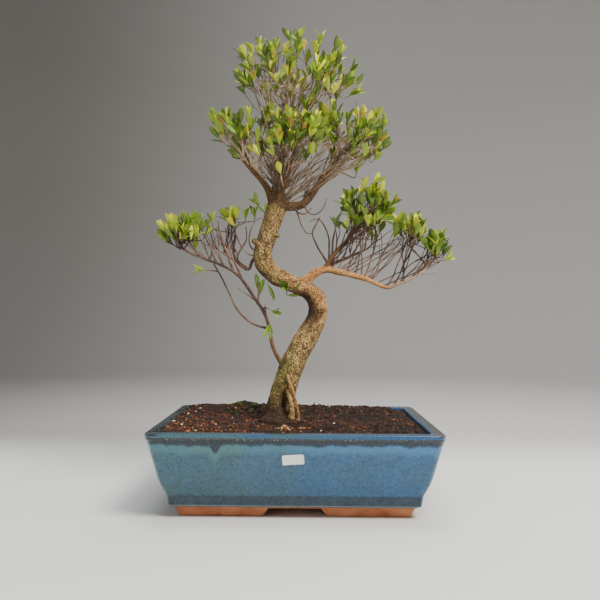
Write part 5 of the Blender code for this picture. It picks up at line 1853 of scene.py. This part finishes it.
def make_camera():
    """A camera where the photograph was taken from."""
    lens = bpy.data.cameras.new("camera")
    lens.sensor_width = SENSOR_WIDTH
    lens.lens = FOCAL_LENGTH
    lens.clip_start = 0.01
    lens.clip_end = 50.0
    item = bpy.data.objects.new("camera", lens)
    place = (Vector(CAMERA_PLACE) + ORIGIN_SHIFT) * MM
    turn = Matrix.Rotation(math.radians(CAMERA_TURN), 4, "Z")
    tilt = Matrix.Rotation(math.radians(90.0 + CAMERA_TILT), 4, "X")
    roll = Matrix.Rotation(math.radians(CAMERA_ROLL), 4, "Z")
    item.matrix_world = Matrix.Translation(place) @ turn @ tilt @ roll
    bpy.context.scene.collection.objects.link(item)
    bpy.context.scene.camera = item


def crown_first(runs):
    """Runs that end in the crown, then the runs that end beside the trunk."""
    groups = ([], [])
    for run in runs:
        end = run[-1]
        high = end.z > 430.0 or (end.z > 388.0 and -70.0 < end.x < 58.0)
        groups[0 if high else 1].append(run)
    return groups


def make_twigs(name, runs, sides, look, nodes=()):
    """One piece of round twigs."""
    settle(to_piece(name, tube_work(runs, sides), [look], 60.0), nodes)


def make_tree():
    """Wood, twigs and foliage, grown by one rule from the limbs."""
    limbs = [resample([Vector(p) for p in limb], WOOD_STEP) for limb in LIMBS]
    drawn = [resample([Vector(p) for p in limb], DRAW_STEP) for limb in LIMBS]
    trunk = resample([Vector(p) for p in TRUNK], WOOD_STEP)
    pale_bark = twig_material("thin tan-grey twig bark", [
        (0.34, "3A2C24"), (0.66, "DCC6A6"), (0.44, "6E5846"), (0.52, "9A8068"), (0.59, "BCA184"),
    ])
    dark_bark = twig_material("thin red-brown twig bark", [
        (0.34, "221611"), (0.66, "A98A74"), (0.44, "3E2A22"), (0.52, "5E4236"), (0.59, "836654"),
    ])
    make_wood(drawn, bark_material())
    ends = [(limb[-1].xyz, frames_along(limb)[-1][0], STEM_LENGTH[0])
            for name, limb in zip(LIMB_NAMES, limbs) if name not in BARE_ENDS]
    sites = {}
    finer = []
    straight = []
    for spin, (name, (centre, size, own, more)) in enumerate(PADS.items()):
        lifted = Vector(centre) + Vector((0.0, 0.0, RAISED.get(name, 0.0)))
        added = finer_sites(lifted, size, more, spin, LOWEST.get(name, -0.7))
        sprigs = sprig_sites(name)
        sites[name] = (pad_sites(centre, size, own, spin), added + sprigs)
        if name in BUNDLED:
            straight += added[::2]
            finer += added[1::2] + sprigs
        else:
            finer += added + sprigs
    lone = [(Vector(foot), Vector(way).normalized(), length, tone)
            for (foot, way, length), tone in zip(LONE_SHOOTS, LONE_TONES)]
    modelled = [site for own, _ in sites.values() for site in own] + lone
    crown = [trunk[-4:]] + limbs[:len(CROWN_LIMBS)]
    runs, joints = grow_twigs(modelled, limbs + [trunk], finer, straight, crown)
    rng = random.Random(SEED + 5)
    thin = {name: split_limb(limb)[1] for name, limb in zip(LIMB_NAMES, drawn)}
    thin = {name: kinked(limb, rng, 0.6) for name, limb in thin.items() if len(limb) > 1}
    dark = [limb for name, limb in thin.items() if name in DARK_LIMBS]
    pale = [limb for name, limb in thin.items() if name not in DARK_LIMBS]
    make_twigs("branches_pale", pale, 2, pale_bark, ["trunk"])
    make_twigs("branches_dark", dark, 2, dark_bark, ["trunk"])
    high, low = crown_first([kinked(run, rng, 2.6) for run in runs])
    make_twigs("twigs_crown", high, 1, pale_bark, ["trunk"])
    make_twigs("twigs_sides", low, 1, dark_bark, ["trunk"])
    high, low = crown_first(bare_twigs(joints))
    make_twigs("twigs_bare_crown", high, 1, pale_bark)
    tangle = [kinked(resample([Vector(p) for p in run], DRAW_STEP), rng, 0.7) for run in TANGLE]
    make_twigs("twigs_bare_sides", low + tangle, 1, dark_bark)
    named = dict(zip(LIMB_NAMES, drawn))
    named["trunk"] = resample([Vector(p) for p in TRUNK], DRAW_STEP)
    sprays, tufts = spray_twigs(named)
    high, low = crown_first([kinked(run, rng, 2.4) for run in sprays])
    make_twigs("twigs_sprays_crown", high, 1, pale_bark)
    make_twigs("twigs_sprays_sides", low, 1, dark_bark)
    looks = [stem_material(), leaf_material()]
    shapes = (
        (0.1, 0.3, 0.175), (0.2, 0.35, 0.155), (-0.05, 0.4, 0.17), (0.05, 0.2, 0.195), (0.25, 0.45, 0.15),
    )
    templates = [leaf_template(*shape) for shape in shapes]
    nodes = nearest_pads()
    for number, (name, (centre, size, _, _)) in enumerate(PADS.items()):
        own, added = sites[name]
        tips = [end for end in ends if nearest_pad(end[0]) == name]
        make_foliage("leaves_" + name, own + added + tips + tufts[name], nodes[name], looks, templates,
                     SEED + 10 + number, centre, size, CHARACTER.get(name, (1.0, 0.0, 1.0)))
    make_foliage("leaves_bare_wood", lone, nodes["bare_wood"], looks, templates, SEED + 40, (0, 0, 300),
                 (1, 1, 900), (0.9, 0.12, 1.0), LONE_LEAVES)


def nearest_pad(place):
    """The pad that a point lies in or nearest to."""
    def reach(name):
        centre, size = PADS[name][:2]
        gap = place - Vector(centre)
        return Vector([gap[i] / size[i] for i in range(3)]).length
    return min(PADS, key=reach)


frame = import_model()
make_stage(studio_material())
make_light()
make_camera()
make_pot(glaze_material(), clay_material())
make_label(paper_material())
make_soil(soil_material())
make_chips(scrap_material("weathered bark chips", [
    (0.0, "0A0402"), (1.0, "ECDCBC"), (0.3, "36180A"), (0.55, "7C421C"), (0.78, "BC7E42"),
], 0.9))
make_fibres(scrap_material("dry root fibre", [
    (0.0, "2A1A10"), (1.0, "B79A6C"), (0.4, "5C4027"), (0.7, "8C6A42"),
], 0.9))
make_moss(scrap_material("dry green moss", [
    (0.0, "14170A"), (1.0, "8E7C46"), (0.4, "33371A"), (0.7, "565324"),
], 0.95))
make_tree()
screen_plastic = mesh_plastic_material()
for node in ("drain_screen_left", "drain_screen_right"):
    frame["nodes"][node].data.materials.clear()
    frame["nodes"][node].data.materials.append(screen_plastic)
